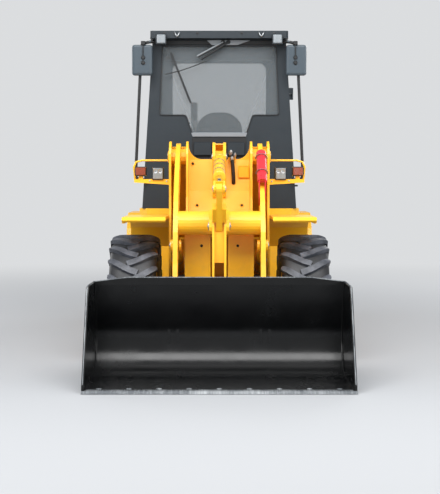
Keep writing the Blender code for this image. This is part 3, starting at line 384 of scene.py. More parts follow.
def hex_bolts(places, axis, size):
    """Washer-faced hexagon heads at points on a face that looks along axis."""
    head = np.array([(0, 1.25), (0.18, 1.25), (0.2, 0.98), (0.75, 0.98), (0.85, 0.8)]) * size
    return np.stack([turned(head, place, axis, 6) for place in places])


# Zinc-plated steel: pale, slightly warm and satin, as bolts and pin caps are.
zinc_plate, zinc_tree, zinc_shader = new_finish("zinc_plated_steel")
zinc_cloud = noise(zinc_tree, object_place(zinc_tree), 60.0, 4.0)
zinc_shade = blend(zinc_tree, zinc_cloud, linear("#8F9296"), linear("#C3C6C8"))
wire(zinc_tree, zinc_shader, {
    "Base Color": zinc_shade, "Roughness": remap(zinc_tree, zinc_cloud, go=(0.28, 0.5)), "Metallic": 1.0})

TOWER_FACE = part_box("front_frame")[1].x
BOOM_PIN = pin_place("boom_lift")
PIN_CAP = [(-0.004, 0.052), (0.010, 0.052), (0.014, 0.048), (0.014, 0.030), (0.011, 0.026), (0.011, 0.0)]
for side, sign in SIDES:
    skin(f"boom_pin_cap_{side}", "front_chassis", yellow_enamel,
         turned(PIN_CAP, at(sign * TOWER_FACE, *BOOM_PIN), (sign, 0, 0)))
    ring = circle_in_side(sign * (TOWER_FACE + 0.013), BOOM_PIN[0] + EDGE_Y, BOOM_PIN[1], 0.039,
                          np.radians((30, 150, 270)))
    skin(f"boom_pin_bolts_{side}", "front_chassis", zinc_plate, hex_bolts(ring, (sign, 0, 0), 0.008))

# The web between the towers leans back from the nose. It carries drain holes with
# rolled rims, one blank plate, and the short hose that feeds the tilt cylinder.


def web_front(h):
    """Distance d of the web's front face at height h, by straight lines between its bends."""
    return np.interp(h, (1.072, 1.15, 1.45, 1.74), (1.94, 2.08, 2.27, 2.34)) - 0.011


# Shadow inside a drilled hole: black and matt.
hole_dark = plain("drilled_hole_shadow", "#0C0C0D", 0.9)

web_holes = [(-0.241, 1.700), (-0.199, 1.324), (0.203, 1.324)]
for number, (x, h) in enumerate(web_holes):
    slope = (web_front(h + 0.02) - web_front(h - 0.02)) / 0.04
    spot, outward = at(x, web_front(h) - 0.001, h), (0, -1, slope)
    skin(f"web_hole_{number}", "front_chassis", hole_dark,
         turned([(0.0, 0.013), (0.002, 0.012), (0.002, 0)], spot, outward, 20))
    rolled = [(0.0, 0.018), (0.003, 0.017), (0.004, 0.0145), (0.002, 0.012), (0, 0.012)]
    skin(f"web_hole_rim_{number}", "front_chassis", yellow_enamel, turned(rolled, spot, outward, 24), loop=True)

NOSE_FRONT = 1.612
for number, x in enumerate((-0.151, 0.158)):
    skin(f"nose_hole_{number}", "front_chassis", hole_dark,
         turned([(0.0, 0.012), (0.002, 0.011), (0.002, 0)], at(x, NOSE_FRONT - 0.0005, 0.99), (0, -1, 0), 20))

PLATE_H = (1.572, 1.688)
plate_d = web_front(np.mean(PLATE_H))
skin("blank_plate", "front_chassis", yellow_enamel,
     pressed(oblong((0.170, 0.272), PLATE_H), plate_d - 0.030, plate_d - 0.024, 0.002, "front", 0.008))
hoop("blank_plate_border", "front_chassis", yellow_enamel, round_section(0.003, 8),
     [(x, plate_d - 0.031, h) for x, h in oblong((0.178, 0.264), (1.580, 1.680))], 0.008, up=(0, 1, 0))
skin("blank_plate_posts", "front_chassis", zinc_plate,
     np.stack([turned([(0, 0.006), (0.045, 0.006)], at(x, plate_d - 0.026, h), (0, 1, 0), 8)
               for x in (0.185, 0.257) for h in (1.585, 1.675)]))

# Rubber hose sleeve over steel pipe: matt black, very slightly ribbed by its braid.
hose_rubber, hose_tree, hose_shader = new_finish("braided_hose_rubber")
wire(hose_tree, hose_shader, {"Base Color": linear("#17181A"), "Roughness": 0.62})
# The braid's ridges are 3 mm apart.
hose_weave = add_node(hose_tree, "ShaderNodeTexWave", {
    "Vector": object_place(hose_tree), "Scale": 52.0, "Distortion": 0.6}, bands_direction="DIAGONAL")
emboss(hose_tree, hose_shader, hose_weave.outputs["Fac"], 0.3, 0.0008)

HOSE_X, WEB_TOP = 0.124, web_front(1.74)
line = [(HOSE_X - 0.020, WEB_TOP - 0.020, 1.800), (HOSE_X - 0.008, web_front(1.72) - 0.050, 1.745),
        (HOSE_X, web_front(1.66) - 0.045, 1.66), (HOSE_X + 0.006, web_front(1.56) - 0.030, 1.56),
        (HOSE_X + 0.006, web_front(1.52) + 0.006, 1.52)]
skin("tilt_feed_pipe", "front_chassis", hose_rubber, tube(0.0165, 16, line, 0.05, up=(1, 0, 0)))
for number, (x, h, reach, size) in enumerate((
        (0.104, 1.800, 0.045, 0.017), (0.116, 1.742, 0.052, 0.021), (0.140, 1.775, 0.040, 0.014))):
    nut = [(-0.014, size * 0.9), (-0.012, size), (0.012, size), (0.014, size * 0.9)]
    union = [(-0.024, size * 0.6), (-0.022, size * 0.7), (0.022, size * 0.7), (0.024, size * 0.6)]
    skin(f"tilt_feed_nut_{number}", "front_chassis", zinc_plate, np.stack([
        turned(profile, at(x, WEB_TOP - reach, h), (0.1, -0.25, 1), 6) for profile in (nut, union)]))
skin("tilt_feed_block", "front_chassis", yellow_enamel, pressed(
    oblong((0.080, 0.150), (1.715, 1.760)), WEB_TOP - 0.020, WEB_TOP + 0.02, 0.003, "front", 0.006))

# Each tower is closed behind by a bent plate that follows the two plates' back edges,
# and the lugs of the tilt cylinder are closed in the same way. Gussets with a hollow
# edge brace the web's top against the inner plates.
ARM_X = 0.365                            # the lift arms' middle


def round_boom_pin(radius, start, end, count):
    """(d, h) points on an arc about the boom's pin, from start to end in degrees."""
    t = np.radians(np.linspace(start, end, count))
    return np.stack([BOOM_PIN[0] + radius * np.cos(t), BOOM_PIN[1] + radius * np.sin(t)], 1)


back_line = np.concatenate([round_boom_pin(0.130, 44, -4, 12), [(2.488, 1.402), (2.752, 1.012)]])
for side, sign in SIDES:
    skin(f"tower_back_plate_{side}", "front_chassis", yellow_enamel,
         carried(flat_section(0.0668, 0.004), side_line(sign * 0.361, back_line), up=(0, 0.5, 0.86)))
    t = np.linspace(0, math.pi / 2, 14)
    hollow = np.stack([0.276 - 0.115 * (1 - np.sin(t)), 1.742 + 0.125 * (1 - np.cos(t))], 1)
    gusset = np.concatenate([[(0.276, 1.730), (0.161, 1.730)], hollow]) * (sign, 1)
    skin(f"web_gusset_{side}", "front_chassis", yellow_enamel, pressed(gusset, 2.330, 2.346, 0.002, "front"))
skin("tilt_lug_back", "front_chassis", yellow_enamel,
     carried(flat_section(0.0352, 0.004), side_line(0, round_boom_pin(0.120, 75, 10, 10)), up=(0, 0.5, 0.86)))

# Folded bead along each front mudguard's outer edge.
for side, sign in SIDES:
    low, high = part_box(f"front_fender_{side}")
    edge_x = (high.x if sign > 0 else low.x) - sign * 0.003
    top = high.z
    bead = [(edge_x, 1.362, top - 0.018), (edge_x, 1.37, top - 0.004), (edge_x, 2.20, top - 0.004),
            (edge_x, 2.36, top - 0.104), (edge_x, 2.468, top - 0.285)]
    skin(f"front_fender_bead_{side}", "front_chassis", yellow_enamel,
         tube(0.0055, 8, bead, 0.03, up=(1, 0, 0)))

# Axles and engine -----------------------------------------------------------------
# Grey iron castings, sand-cast and left with a thin coat of dark primer, so they are
# matt and grainy. The engine adds a rocker cover, an air cleaner and fins along its sides.

cast_iron, iron_tree, iron_shader = new_finish("sand_cast_iron")
iron_place = object_place(iron_tree)
iron_shade = blend(iron_tree, noise(iron_tree, iron_place, 7.0, 5.0), linear("#2C2D2F"), linear("#5C564E"))
wire(iron_tree, iron_shader, {"Base Color": iron_shade, "Roughness": 0.66, "Metallic": 0.35})
# Casting sand leaves grains of about 1 mm; they are drawn at 3 mm.
emboss(iron_tree, iron_shader, noise(iron_tree, iron_place, 320.0, 2.0), 0.5, 0.001)
finish_nodes(cast_iron, "front_axle", "rear_axle", "engine_block")

ENGINE_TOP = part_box("engine_block")[1].z
skin("rocker_cover", "rear_chassis", cast_iron,
     pressed(oblong((-0.10, 0.10), (4.50, 5.00)), ENGINE_TOP, ENGINE_TOP + 0.075, 0.015, "plan", 0.04))
skin("air_cleaner", "rear_chassis", hose_rubber,
     turned([(0, 0.05), (0.01, 0.085), (0.20, 0.09), (0.22, 0.095), (0.24, 0.09), (0.34, 0.085), (0.35, 0.05)],
            at(0.23, 4.56, ENGINE_TOP + 0.092), (0, 1, 0), 28))
for side, sign in SIDES:
    skin(f"engine_fins_{side}", "rear_chassis", cast_iron, np.stack([
        pressed(oblong((4.47, 5.03), (h, h + 0.014)), *span(sign, 0.338, 0.372), 0.004, "side", 0.004)
        for h in np.linspace(1.02, 1.54, 9)]))
COVER = [(-0.04, 0.135), (0.004, 0.135), (0.010, 0.128), (0.010, 0.085), (0.022, 0.06), (0.022, 0)]
for name, look in (("front", -1), ("rear", 1)):
    low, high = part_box(f"{name}_axle")
    face = (low.y + high.y) / 2 - EDGE_Y + look * 0.133
    skin(f"{name}_differential_cover", f"{name}_chassis", cast_iron,
         turned(COVER, at(0, face, high.z - 0.1825), (0, look, 0), 28))

# Tyres ----------------------------------------------------------------------------
# Moulded black rubber, four the same: a fat round-shouldered case with 20 curved
# bars on each side that meet near the middle in a chevron. Dry earth greys them,
# and the bars are coloured lighter than the case as painted highlight.


def tyre_compound(name, clean, dusty, share):
    """Moulded rubber greyed in cloudy patches, with the mould's fine grain. On the case the
    grey is dry earth; on the bars both colours are lighter, as dry earth and painted highlight.
    """
    material, tree, shader = new_finish(name)
    place = object_place(tree)
    amount = remap(tree, noise(tree, place, 11.0, 7.0, 0.65), (0.40, 0.70), (0.0, share))
    wire(tree, shader, {"Base Color": blend(tree, amount, linear(clean), linear(dusty)), "Roughness": 0.5})
    # Mould texture of about 1.5 mm, drawn at 5 mm.
    emboss(tree, shader, noise(tree, place, 200.0, 2.0), 0.35, 0.001)
    return material


tyre_rubber = tyre_compound("moulded_tyre_rubber", "#141518", "#3A3B40", 0.45)
# The bars are coloured lighter and bluer than the case: painted highlight, with dry earth in their pale patches.
painted_highlight_bar_rubber = tyre_compound("scuffed_tread_rubber", "#34373E", "#6E717A", 0.6)

CROWN = 0.5375            # the tyre's radius over its bars
CASE_CROWN = 0.510        # and between them
CASE_WAIST = 0.405        # radius at the widest place
CASE_HALF = 0.200         # half the case's width
BEAD = 0.266              # radius at the beads
BARS, BAR_HALF = 20, 0.2095   # bars on a side, and how far they reach from the middle
TYRE_MIDDLE = (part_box("front_tyre_left")[0].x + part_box("front_tyre_left")[1].x) / 2


def case_section(s):
    """(across, radius) of the case for s from -1 at one bead to 1 at the other. Over the
    tread, where |s| < 0.6, across = half * sin(a)^0.75 and radius rises with cos(a)^0.5;
    below it each wall falls straight to its bead and draws in by the square of the way."""
    size = np.abs(s)
    a = np.clip(size / 0.6, 0, 1) * math.pi / 2
    down = np.clip((size - 0.6) / 0.4, 0, 1)
    across = CASE_HALF * np.sin(a) ** 0.75 - 0.052 * down ** 2
    radius = CASE_WAIST + (CASE_CROWN - CASE_WAIST) * np.maximum(np.cos(a), 0) ** 0.5 - (CASE_WAIST - BEAD) * down
    return np.sign(s) * across, radius


def on_wheel(across, radius, turn, sign, y):
    """World points at a distance across the tyre, a radius and a turn about its axle."""
    across, radius, turn = np.broadcast_arrays(across, radius, turn)
    return np.stack([sign * (TYRE_MIDDLE + across), y + radius * np.cos(turn), CROWN + radius * np.sin(turn)], -1)


def bar_ridges(hand, sign, y):
    """One side's bars. A bar's centre line runs u = 0..1 from past the middle to the
    shoulder, s = -0.05 + 0.72 u and turn = -0.36 * (1 - (1 - u)^1.4); its section is a
    trapezium raised along the case's normal, never past the crown."""
    u = np.linspace(0, 1, 12)
    s = hand * (-0.05 + 0.72 * u)
    lead = 0.36 * (1 - (1 - u) ** 1.4)
    across, radius = case_section(s)
    eps = 0.01
    across_b, radius_b = case_section(s + eps)
    slope = unit(np.stack([across_b - across, radius_b - radius], 1))
    normal = np.stack([-slope[:, 1], slope[:, 0]], 1)
    normal *= np.where(normal[:, 1:] < -0.0001, -1, 1)
    normal = np.where(normal[:, 1:] < 0.2, np.stack([np.sign(s), np.zeros(len(s))], 1), normal)
    height = 0.033 - 0.012 * u ** 2
    half_base = 0.034 - 0.002 * u
    half_top = 0.025 - 0.001 * u
    # Across, up and whether a point is on the bar's top rather than at its foot.
    section = np.array([(-1, 0, 0), (-1, 1, 1), (-0.4, 1.06, 1), (0.4, 1.06, 1), (1, 1, 1), (1, 0, 0)])
    on_top = section[None, :, 2] > 0
    wide = np.where(on_top, half_top[:, None], half_base[:, None]) * section[None, :, 0]
    rise = np.where(on_top, height[:, None] * section[None, :, 1], -0.006)
    ahead = unit(np.stack([np.gradient(across), -radius * np.gradient(lead)], 1))
    a = across[:, None] + normal[:, None, 0] * rise + wide * -ahead[:, None, 1]
    r = radius[:, None] + normal[:, None, 1] * rise
    turn = -lead[:, None] + wide * ahead[:, None, 0] / radius[:, None]
    r = np.minimum(r, CROWN - 0.0004)
    a = np.clip(a, -BAR_HALF, BAR_HALF)
    starts = (np.arange(BARS) + (0.5 if hand > 0 else 0.0)) * 2 * math.pi / BARS
    return on_wheel(a[None], r[None], turn[None] + starts[:, None, None], sign, y)


SECTION_STEPS = np.linspace(-1, 1, 45)
TURNS = np.linspace(0, 2 * math.pi, 96, endpoint=False)
for end in ("front", "rear"):
    for side, sign in SIDES:
        body = f"{end}_wheel_{side}"
        y = joint_place[f"{body}_spin"][1]
        across, radius = case_section(SECTION_STEPS)
        across = np.append(across, across[0])
        radius = np.append(radius, radius[0])
        case = skin(f"{end}_tyre_case_{side}", body, tyre_rubber,
                    np.stack([on_wheel(across, radius, turn, sign, y) for turn in TURNS]), loop=True)
        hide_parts(f"{end}_tyre_{side}")
        skin(f"{end}_tyre_bars_{side}", body, painted_highlight_bar_rubber,
             np.concatenate([bar_ridges(1, sign, y), bar_ridges(-1, sign, y)]))
        # Raised rings that the mould leaves on the outer wall.
        ring = round_section(0.003, 8)
        for number, s in enumerate((0.70, 0.93)):
            a, r = case_section(np.array([s]))
            skin(f"{end}_tyre_ring_{side}_{number}", body, tyre_rubber, np.stack([
                on_wheel(a + 0.0005 + ring[:, 0], r + ring[:, 1], turn, sign, y) for turn in TURNS]), loop=True)

# Rims -----------------------------------------------------------------------------
# Rolled steel, each a drop-centre ring welded to a dished disc and painted yellow. Ten
# nuts hold it to the hub, whose planetary cap stands out through the middle.

RIM = [(0.560, 0.262), (0.556, 0.284), (0.566, 0.286), (0.574, 0.2625), (0.884, 0.2625), (0.888, 0.286),
       (0.896, 0.290), (0.903, 0.286), (0.899, 0.262), (0.893, 0.250), (0.860, 0.246), (0.845, 0.236),
       (0.700, 0.228), (0.664, 0.214), (0.645, 0.196), (0.640, 0.182), (0.641, 0.140), (0.646, 0.118),
       (0.646, 0.06), (0.602, 0.06), (0.601, 0.200), (0.630, 0.226), (0.700, 0.240), (0.700, 0.250)]
HUB_CAP = [(0.640, 0.118), (0.664, 0.116), (0.672, 0.108), (0.696, 0.104), (0.703, 0.096), (0.705, 0.050),
           (0.710, 0.046), (0.710, 0.0)]
for end in ("front", "rear"):
    for side, sign in SIDES:
        body = f"{end}_wheel_{side}"
        y = joint_place[f"{body}_spin"][1]
        hub = (0, y, CROWN)
        rim = skin(f"{end}_rim_dish_{side}", body, yellow_enamel, turned(RIM, hub, (sign, 0, 0), 72), loop=True)
        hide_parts(f"{end}_rim_{side}")
        skin(f"{end}_hub_cap_{side}", body, yellow_enamel, turned(HUB_CAP, hub, (sign, 0, 0), 48))
        nut_turns = np.linspace(0, 2 * math.pi, 10, endpoint=False)
        nuts = circle_in_side(sign * 0.639, y, CROWN, 0.160, nut_turns)
        skin(f"{end}_wheel_nuts_{side}", body, zinc_plate, hex_bolts(nuts, (sign, 0, 0), 0.0145))
        bolts = circle_in_side(sign * 0.704, y, CROWN, 0.078, nut_turns[::2])
        skin(f"{end}_hub_bolts_{side}", body, zinc_plate, hex_bolts(bolts, (sign, 0, 0), 0.007))
        skin(f"{end}_valve_{side}", body, hose_rubber,
             turned([(0, 0.006), (0.045, 0.005), (0.046, 0.003)], (sign * 0.80, y + 0.20, CROWN + 0.105),
                    (sign, -0.35, -0.2), 10))

# Loader linkage -------------------------------------------------------------------
# Flame-cut plate arms on hardened pins. Each pin ends in a flange with one bolt.


def pin_cap(name, body, x, place, radius, thick):
    """A flanged pin end on a face at x, with one bolt in its middle."""
    sign = 1 if x > 0 else -1
    profile = [(-0.003, radius), (thick - 0.002, radius), (thick, radius - 0.002), (thick, 0)]
    skin(name, body, zinc_plate, turned(profile, at(x, *place), (sign, 0, 0), 28))
    skin(f"{name}_bolt", body, zinc_plate, hex_bolts([at(x + sign * thick, *place)], (sign, 0, 0), radius * 0.24))


BUCKET_PIN, CRANK_PIN = pin_place("bucket_tilt"), pin_place("bell_crank_turn")
LIFT_BASE = pin_place("lift_cylinder_turn")
LIFT_PIN, CRANK_LOW, CRANK_TOP = (1.48, 1.00), (1.1845, 0.3565), (1.0501, 1.4795)
for side, sign in SIDES:
    pin_cap(f"bucket_pin_outer_{side}", "bucket", sign * 0.410, BUCKET_PIN, 0.032, 0.008)
    pin_cap(f"lift_pin_{side}", "lift_rods", sign * 0.410, LIFT_PIN, 0.030, 0.006)
    pin_cap(f"crank_pin_{side}", "boom", sign * 0.0835, CRANK_PIN, 0.036, 0.008)
    pin_cap(f"crank_low_pin_{side}", "bell_crank", sign * 0.058, CRANK_LOW, 0.028, 0.006)
    pin_cap(f"crank_top_pin_{side}", "tilt_rod", sign * 0.048, CRANK_TOP, 0.026, 0.006)
    pin_cap(f"tilt_base_pin_{side}", "front_chassis", sign * 0.060, BOOM_PIN, 0.032, 0.008)

# Above its pin the bell crank is boxed in, as wide as its two lower plates.
crank_rise = np.array([CRANK_PIN, CRANK_TOP])
box_line = crank_rise[0] + np.outer((0.07, 0.16, 0.20), unit(crank_rise[1] - crank_rise[0]))
skin("bell_crank_box", "bell_crank", yellow_enamel,
     carried(flat_section(0.056, 0.043), side_line(0, box_line), up=(0, 1, 0.3)))

# Cylinders ------------------------------------------------------------------------
# Drawn steel barrels painted yellow with turned glands, hard-chromed rods that mirror
# the room, and steel pipes clipped along the lift and tilt barrels.

rod_chrome, chrome_tree, chrome_shader = new_finish("hard_chrome")
chrome_film = noise(chrome_tree, object_place(chrome_tree), 30.0, 3.0)
wire(chrome_tree, chrome_shader, {
    "Base Color": linear(CHROME), "Roughness": remap(chrome_tree, chrome_film, go=(0.08, 0.24)), "Metallic": 1.0})
finish_nodes(rod_chrome, "steering_rod_left", "steering_rod_right")


def painted_fork(name, fork_back):
    """Chrome for the stem and yellow enamel for the fork, which ends at Y = fork_back."""
    material, tree, shader = new_finish(name)
    back = add_node(tree, "ShaderNodeSeparateXYZ", {"Vector": object_place(tree)}).outputs["Y"]
    behind = add_node(tree, "ShaderNodeMath", {0: back, 1: fork_back}, operation="GREATER_THAN").outputs["Value"]
    wire(tree, shader, {"Base Color": blend(tree, behind, linear(YELLOW), linear(CHROME)), "Metallic": behind,
                        "Roughness": remap(tree, behind, go=(0.36, 0.14))})
    return material


lift_fork = painted_fork("chrome_with_yellow_lift_fork", LIFT_PIN[0] + 0.262 + EDGE_Y)
finish_nodes(lift_fork, "lift_rod_left", "lift_rod_right")
finish_nodes(painted_fork("chrome_with_yellow_tilt_fork", CRANK_TOP[0] + 0.118 + EDGE_Y), "tilt_rod")


def cylinder_trim(name, body, base, eye, x, radius, end, pipe_from, pipe_side):
    """A gland ring at the barrel's mouth, and a pipe beside the barrel that turns into it
    at both ends. Distances are measured from the base pin."""
    base, eye = at(x, *base), at(x, *eye)
    axis = unit(eye - base)
    side = unit(np.cross(axis, (1.0, 0.0, 0.0))) * pipe_side
    gland = [(end - 0.045, radius - 0.002), (end - 0.043, radius + 0.004), (end - 0.004, radius + 0.004),
             (end + 0.001, radius - 0.001), (end + 0.001, radius * 0.62), (end - 0.03, radius * 0.62)]
    skin(f"{name}_gland", body, yellow_enamel, turned(gland, base, axis, 32), loop=True)
    start, stop = base + axis * pipe_from, base + axis * (end - 0.075)
    near, far = side * radius * 0.8, side * (radius + 0.018)
    line = np.array([start + near, start + far, stop + far, stop + near]) - (0, EDGE_Y, 0)
    skin(f"{name}_pipe", body, zinc_plate, tube(0.0075, 12, line, 0.02, up=(1, 0, 0)))
    low, high = radius + 0.0005, radius + 0.0025
    clip = [(-0.008, low), (-0.008, high), (0.008, high), (0.008, low)]
    skin(f"{name}_clips", body, zinc_plate, np.stack([
        turned(clip, base + axis * distance, axis, 28)
        for distance in np.linspace(pipe_from + 0.08, end - 0.155, 3)]), loop=True)


for side, sign in SIDES:
    cylinder_trim(f"lift_{side}", "lift_cylinders", LIFT_BASE, LIFT_PIN, sign * ARM_X, 0.052, 1.000, 0.16, 1)
cylinder_trim("tilt", "tilt_cylinder", BOOM_PIN, CRANK_TOP, 0, 0.050, 0.80, 0.22, -1)

# Safety prop ----------------------------------------------------------------------
# A half tube of red-painted steel that is pinned over the lift cylinder for service,
# stowed on the left arm under two spring straps.

finish_nodes(enamel("red_alkyd_enamel", "#C8222E", 0.32, dust_share=0.10), "boom_safety_prop")
prop_low, prop_high = np.array((1.665, 1.430)), np.array((1.945, 1.685))
prop_along = unit(prop_high - prop_low)
prop_out = np.array((-prop_along[1], prop_along[0]))
STRAP_RADIUS = 0.0455
for number, share in enumerate((0.30, 0.82)):
    middle = prop_low + (prop_high - prop_low) * share + prop_out * 0.135
    t = np.linspace(-0.15, math.pi + 0.15, 20)
    rise = STRAP_RADIUS * np.sin(t)
    strap = np.stack([ARM_X + STRAP_RADIUS * np.cos(t), middle[0] + prop_out[0] * rise,
                      middle[1] + prop_out[1] * rise], 1)
    skin(f"prop_strap_{number}", "boom", zinc_plate,
         carried(flat_section(0.010, 0.0015), strap + (0, EDGE_Y, 0), up=(0, *prop_along)))

# Bucket ---------------------------------------------------------------------------
# Rolled plate between two cheeks, painted gloss black. The floor and back wear a thin
# liner; lips and edges are rubbed to bare grey steel where the load slides over them.


def gloss_black(name, base, bare, wear):
    """Black gloss over steel. Scratches run along d, as noise squeezed across x, and show
    bare metal where they are deepest; wear sets how much of it shows."""
    material, tree, shader = new_finish(name)
    place = object_place(tree)
    along = add_node(tree, "ShaderNodeMapping", {"Vector": place, "Scale": (60.0, 3.0, 3.0)}).outputs["Vector"]
    cloud = noise(tree, place, 4.0, 5.0)
    scratch = noise(tree, along, 1.6, 7.0, 0.7)
    both = add_node(tree, "ShaderNodeMath", {0: scratch, 1: cloud}, operation="MULTIPLY")
    share = remap(tree, both.outputs["Value"], (0.36 - 0.2 * wear, 0.50), (0.0, wear))
    rough = remap(tree, cloud, (0.3, 0.7), (0.16, 0.27 + 0.2 * wear))
    wire(tree, shader, {"Base Color": blend(tree, share, linear(base), linear(bare)), "Roughness": rough,
                        "Specular IOR Level": 0.35})
    emboss(tree, shader, cloud, 0.12, 0.003)
    return material


bucket_black = gloss_black("gloss_black_enamel", "#060708", "#4B4F53", 0.12)
worn_black = gloss_black("rubbed_black_enamel", "#5A5E62", "#C6CACC", 0.85)
finish_nodes(bucket_black, "bucket_shell")
finish_nodes(worn_black, "cutting_edge")

LINER_GAP = 0.0172                       # the liner's face, in from the wall's outside
LINER_HALF = 0.978
WALL_BEND = 0.31
BEND_CENTRE = (0.93 - WALL_BEND, 0.003 + WALL_BEND)


def bucket_section(offset):
    """(d, h) points of the bucket's wall drawn in by offset: a flat floor, a bend of radius
    0.31 - offset through 105 degrees, and a straight back."""
    t, radius = np.radians(np.linspace(-90, 15, 40)), WALL_BEND - offset
    bend = np.stack([BEND_CENTRE[0] + radius * np.cos(t), BEND_CENTRE[1] + radius * np.sin(t)], 1)
    return np.concatenate([[(0.056, 0.003 + offset)], bend, [(0.822 - offset, 0.740)]])


liner = np.concatenate([bucket_section(LINER_GAP - 0.0008), bucket_section(LINER_GAP + 0.001)[::-1]])
skin("bucket_liner", "bucket", bucket_black,
     np.stack([side_line(x, liner) for x in np.linspace(-LINER_HALF, LINER_HALF, 13)]))
for side, sign in SIDES:
    seam = side_line(sign * (LINER_HALF - 0.001), bucket_section(LINER_GAP + 0.003))
    skin(f"bucket_weld_{side}", "bucket", bucket_black, carried(round_section(0.007, 8), seam, up=(1, 0, 0)))
    lip = [(sign * 0.99, d, h) for d, h in ((0.036, 0.062), (0.357, 0.7015), (0.391, 0.7455), (0.81, 0.7455))]
    skin(f"bucket_cheek_edge_{side}", "bucket", worn_black,
         carried(oblong((-0.0105, 0.0105), (-0.004, 0.003)), route(lip, 0.012), up=(1, 0, 0)))
guard_line = [(-0.994, 0.813, 0.7505), (-0.722, 0.813, 0.7845), (0.722, 0.813, 0.7845), (0.994, 0.813, 0.7505)]
skin("spill_guard_edge", "bucket", worn_black, carried(flat_section(0.0095, 0.003), route(guard_line, 0.01)))
bevel = [(0.030, 0.0205), (0.075, 0.0215), (0.100, 0.0205)]
skin("floor_edge_bevel", "bucket", worn_black,
     np.stack([side_line(x, bevel) for x in (-LINER_HALF, LINER_HALF)]))
skin("edge_bolts", "bucket", worn_black, np.stack([
    turned([(0, 0.021), (0.004, 0.020), (0.007, 0.012), (0.0075, 0)], at(x, 0.115, 0.019), (0, 0, 1), 20)
    for x in np.linspace(-0.88, 0.88, 9)]))

# Lamps ----------------------------------------------------------------------------
# Moulded black housings bolted to the yellow bars. The headlamp has a clear ribbed
# lens and two bulbs, the turn lamp an orange lens; the roof has two work lamps.

black_plastic, plastic_tree, plastic_shader = new_finish("moulded_black_abs")
# Spark-eroded grain of about 0.5 mm, drawn at 2.5 mm.
emboss(plastic_tree, plastic_shader, noise(plastic_tree, object_place(plastic_tree), 400.0, 1.0), 0.3, 0.0004)
wire(plastic_tree, plastic_shader, {"Base Color": linear("#1B1D1F"), "Roughness": 0.5})


def lens_plastic(name, colour, ribs):
    """Moulded acrylic over foil: glossy, and fluted every ribs metres down its face. The
    colour is lighter and darker across each flute, as painted light and shade of the ribs.
    """
    material, tree, shader = new_finish(name)
    flute = add_node(tree, "ShaderNodeTexWave", {"Vector": object_place(tree), "Scale": 0.314 / ribs},
                     bands_direction="X").outputs["Fac"]
    # Painted light and shade: the flute wave lightens and darkens the lens colour across each rib.
    shade = add_node(tree, "ShaderNodeHueSaturation", {
        "Color": linear(colour), "Value": remap(tree, flute, go=(0.72, 1.1))})
    wire(tree, shader, {"Base Color": shade.outputs["Color"], "Roughness": 0.12, "Coat Weight": 0.6})
    emboss(tree, shader, flute, 0.6, 0.002)
    return material


clear_lens = lens_plastic("clear_ribbed_acrylic", "#8D9499", 0.012)
orange_lens = lens_plastic("orange_ribbed_acrylic", "#8E3F22", 0.010)
red_lens = lens_plastic("red_ribbed_acrylic", "#8E1418", 0.006)


def lamp_set(name, body, x, h, front, back, lens, look=-1, rim=0.008):
    """A housing with eased edges, and a lens that stands proud of its face.
    look is -1 for a lamp that faces the bucket and 1 for one that faces the tail."""
    skin(f"{name}_housing", body, black_plastic,
         pressed(oblong(x, h), *sorted((front, back)), 0.006, "front", 0.014))
    inner_x, inner_h = (x[0] + rim, x[1] - rim), (h[0] + rim, h[1] - rim)
    face = sorted((front - look * 0.004, front + look * 0.006))
    skin(f"{name}_lens", body, lens, pressed(oblong(inner_x, inner_h), *face, 0.005, "front", 0.010))


BULB = [(-0.004, 0.019), (0.003, 0.019), (0.001, 0.012), (-0.002, 0.0)]
for side, sign in SIDES:
    lamp_set(f"headlamp_{side}", "front_chassis",
             span(sign, 0.502, 0.608), (1.552, 1.668), 2.230, 2.329, clear_lens)
    lamp_set(f"turn_lamp_{side}", "front_chassis",
             span(sign, 0.659, 0.765), (1.587, 1.673), 2.236, 2.319, orange_lens)
    lamp_set(f"work_lamp_{side}", "rear_chassis",
             span(sign, 0.500, 0.602), (2.837, 2.938), 2.797, 2.852, clear_lens, rim=0.010)
    for number, x in enumerate((0.535, 0.577)):
        skin(f"headlamp_bulb_{side}_{number}", "front_chassis", zinc_plate,
             turned(BULB, at(sign * x, 2.225, 1.632), (0, -1, 0), 20))
    skin(f"lamp_bar_bolts_{side}", "front_chassis", zinc_plate, hex_bolts(
        [at(sign * 0.63, 2.249, 1.545), at(sign * 0.475, 2.249, 1.54)], (0, -1, 0), 0.007))

# Cab ------------------------------------------------------------------------------
# A welded box of tube and sheet in dark grey enamel. Bonded tinted glass sits in black
# rubber, a wiper hangs from the header, and a dark blind is rolled up behind the screen.

cab_enamel = enamel("dark_grey_enamel", "#17222A", 0.50, dust="#4A5054", dust_share=0.05, coat=0.05)
finish_nodes(cab_enamel, "cab_front_wall", "cab_rear_wall", "cab_side_right", "cab_roof", "cab_door")

tinted_glass = plain("tinted_safety_glass", "#7E868B", 0.04)
wire(tinted_glass.node_tree, tinted_glass.node_tree.nodes["Principled BSDF"], {"Alpha": 0.30})
finish_nodes(tinted_glass, "windshield", "rear_window", "side_window_right", "door_window")

seal_rubber = plain("extruded_seal_rubber", "#15171A", 0.55)

CAB_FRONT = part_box("cab_front_wall")[0].y - EDGE_Y
CAB_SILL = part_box("cab_floor")[1].z


def cab_half(h):
    """Half the cab's width at height h: it loses 64.7 mm a side for each metre."""
    return 0.745 - 0.0647 * (np.asarray(h) - CAB_SILL)


SCREEN = [(-0.26, 2.00), (0.26, 2.00), (0.32, 2.18), (0.575, 2.18), (0.545, 2.84), (-0.545, 2.84),
          (-0.575, 2.18), (-0.32, 2.18)]
hoop("screen_seal", "rear_chassis", seal_rubber, flat_section(0.004, 0.010),
     [(x, CAB_FRONT - 0.001, h) for x, h in SCREEN], 0.03, up=(0, 1, 0))


def chamfered(u, v, c=0.05):
    """The eight corners of a rectangle whose own corners are cut off by c."""
    return [(u[0] + c, v[0]), (u[1] - c, v[0]), (u[1], v[0] + c), (u[1], v[1] - c), (u[1] - c, v[1]),
            (u[0] + c, v[1]), (u[0], v[1] - c), (u[0], v[0] + c)]


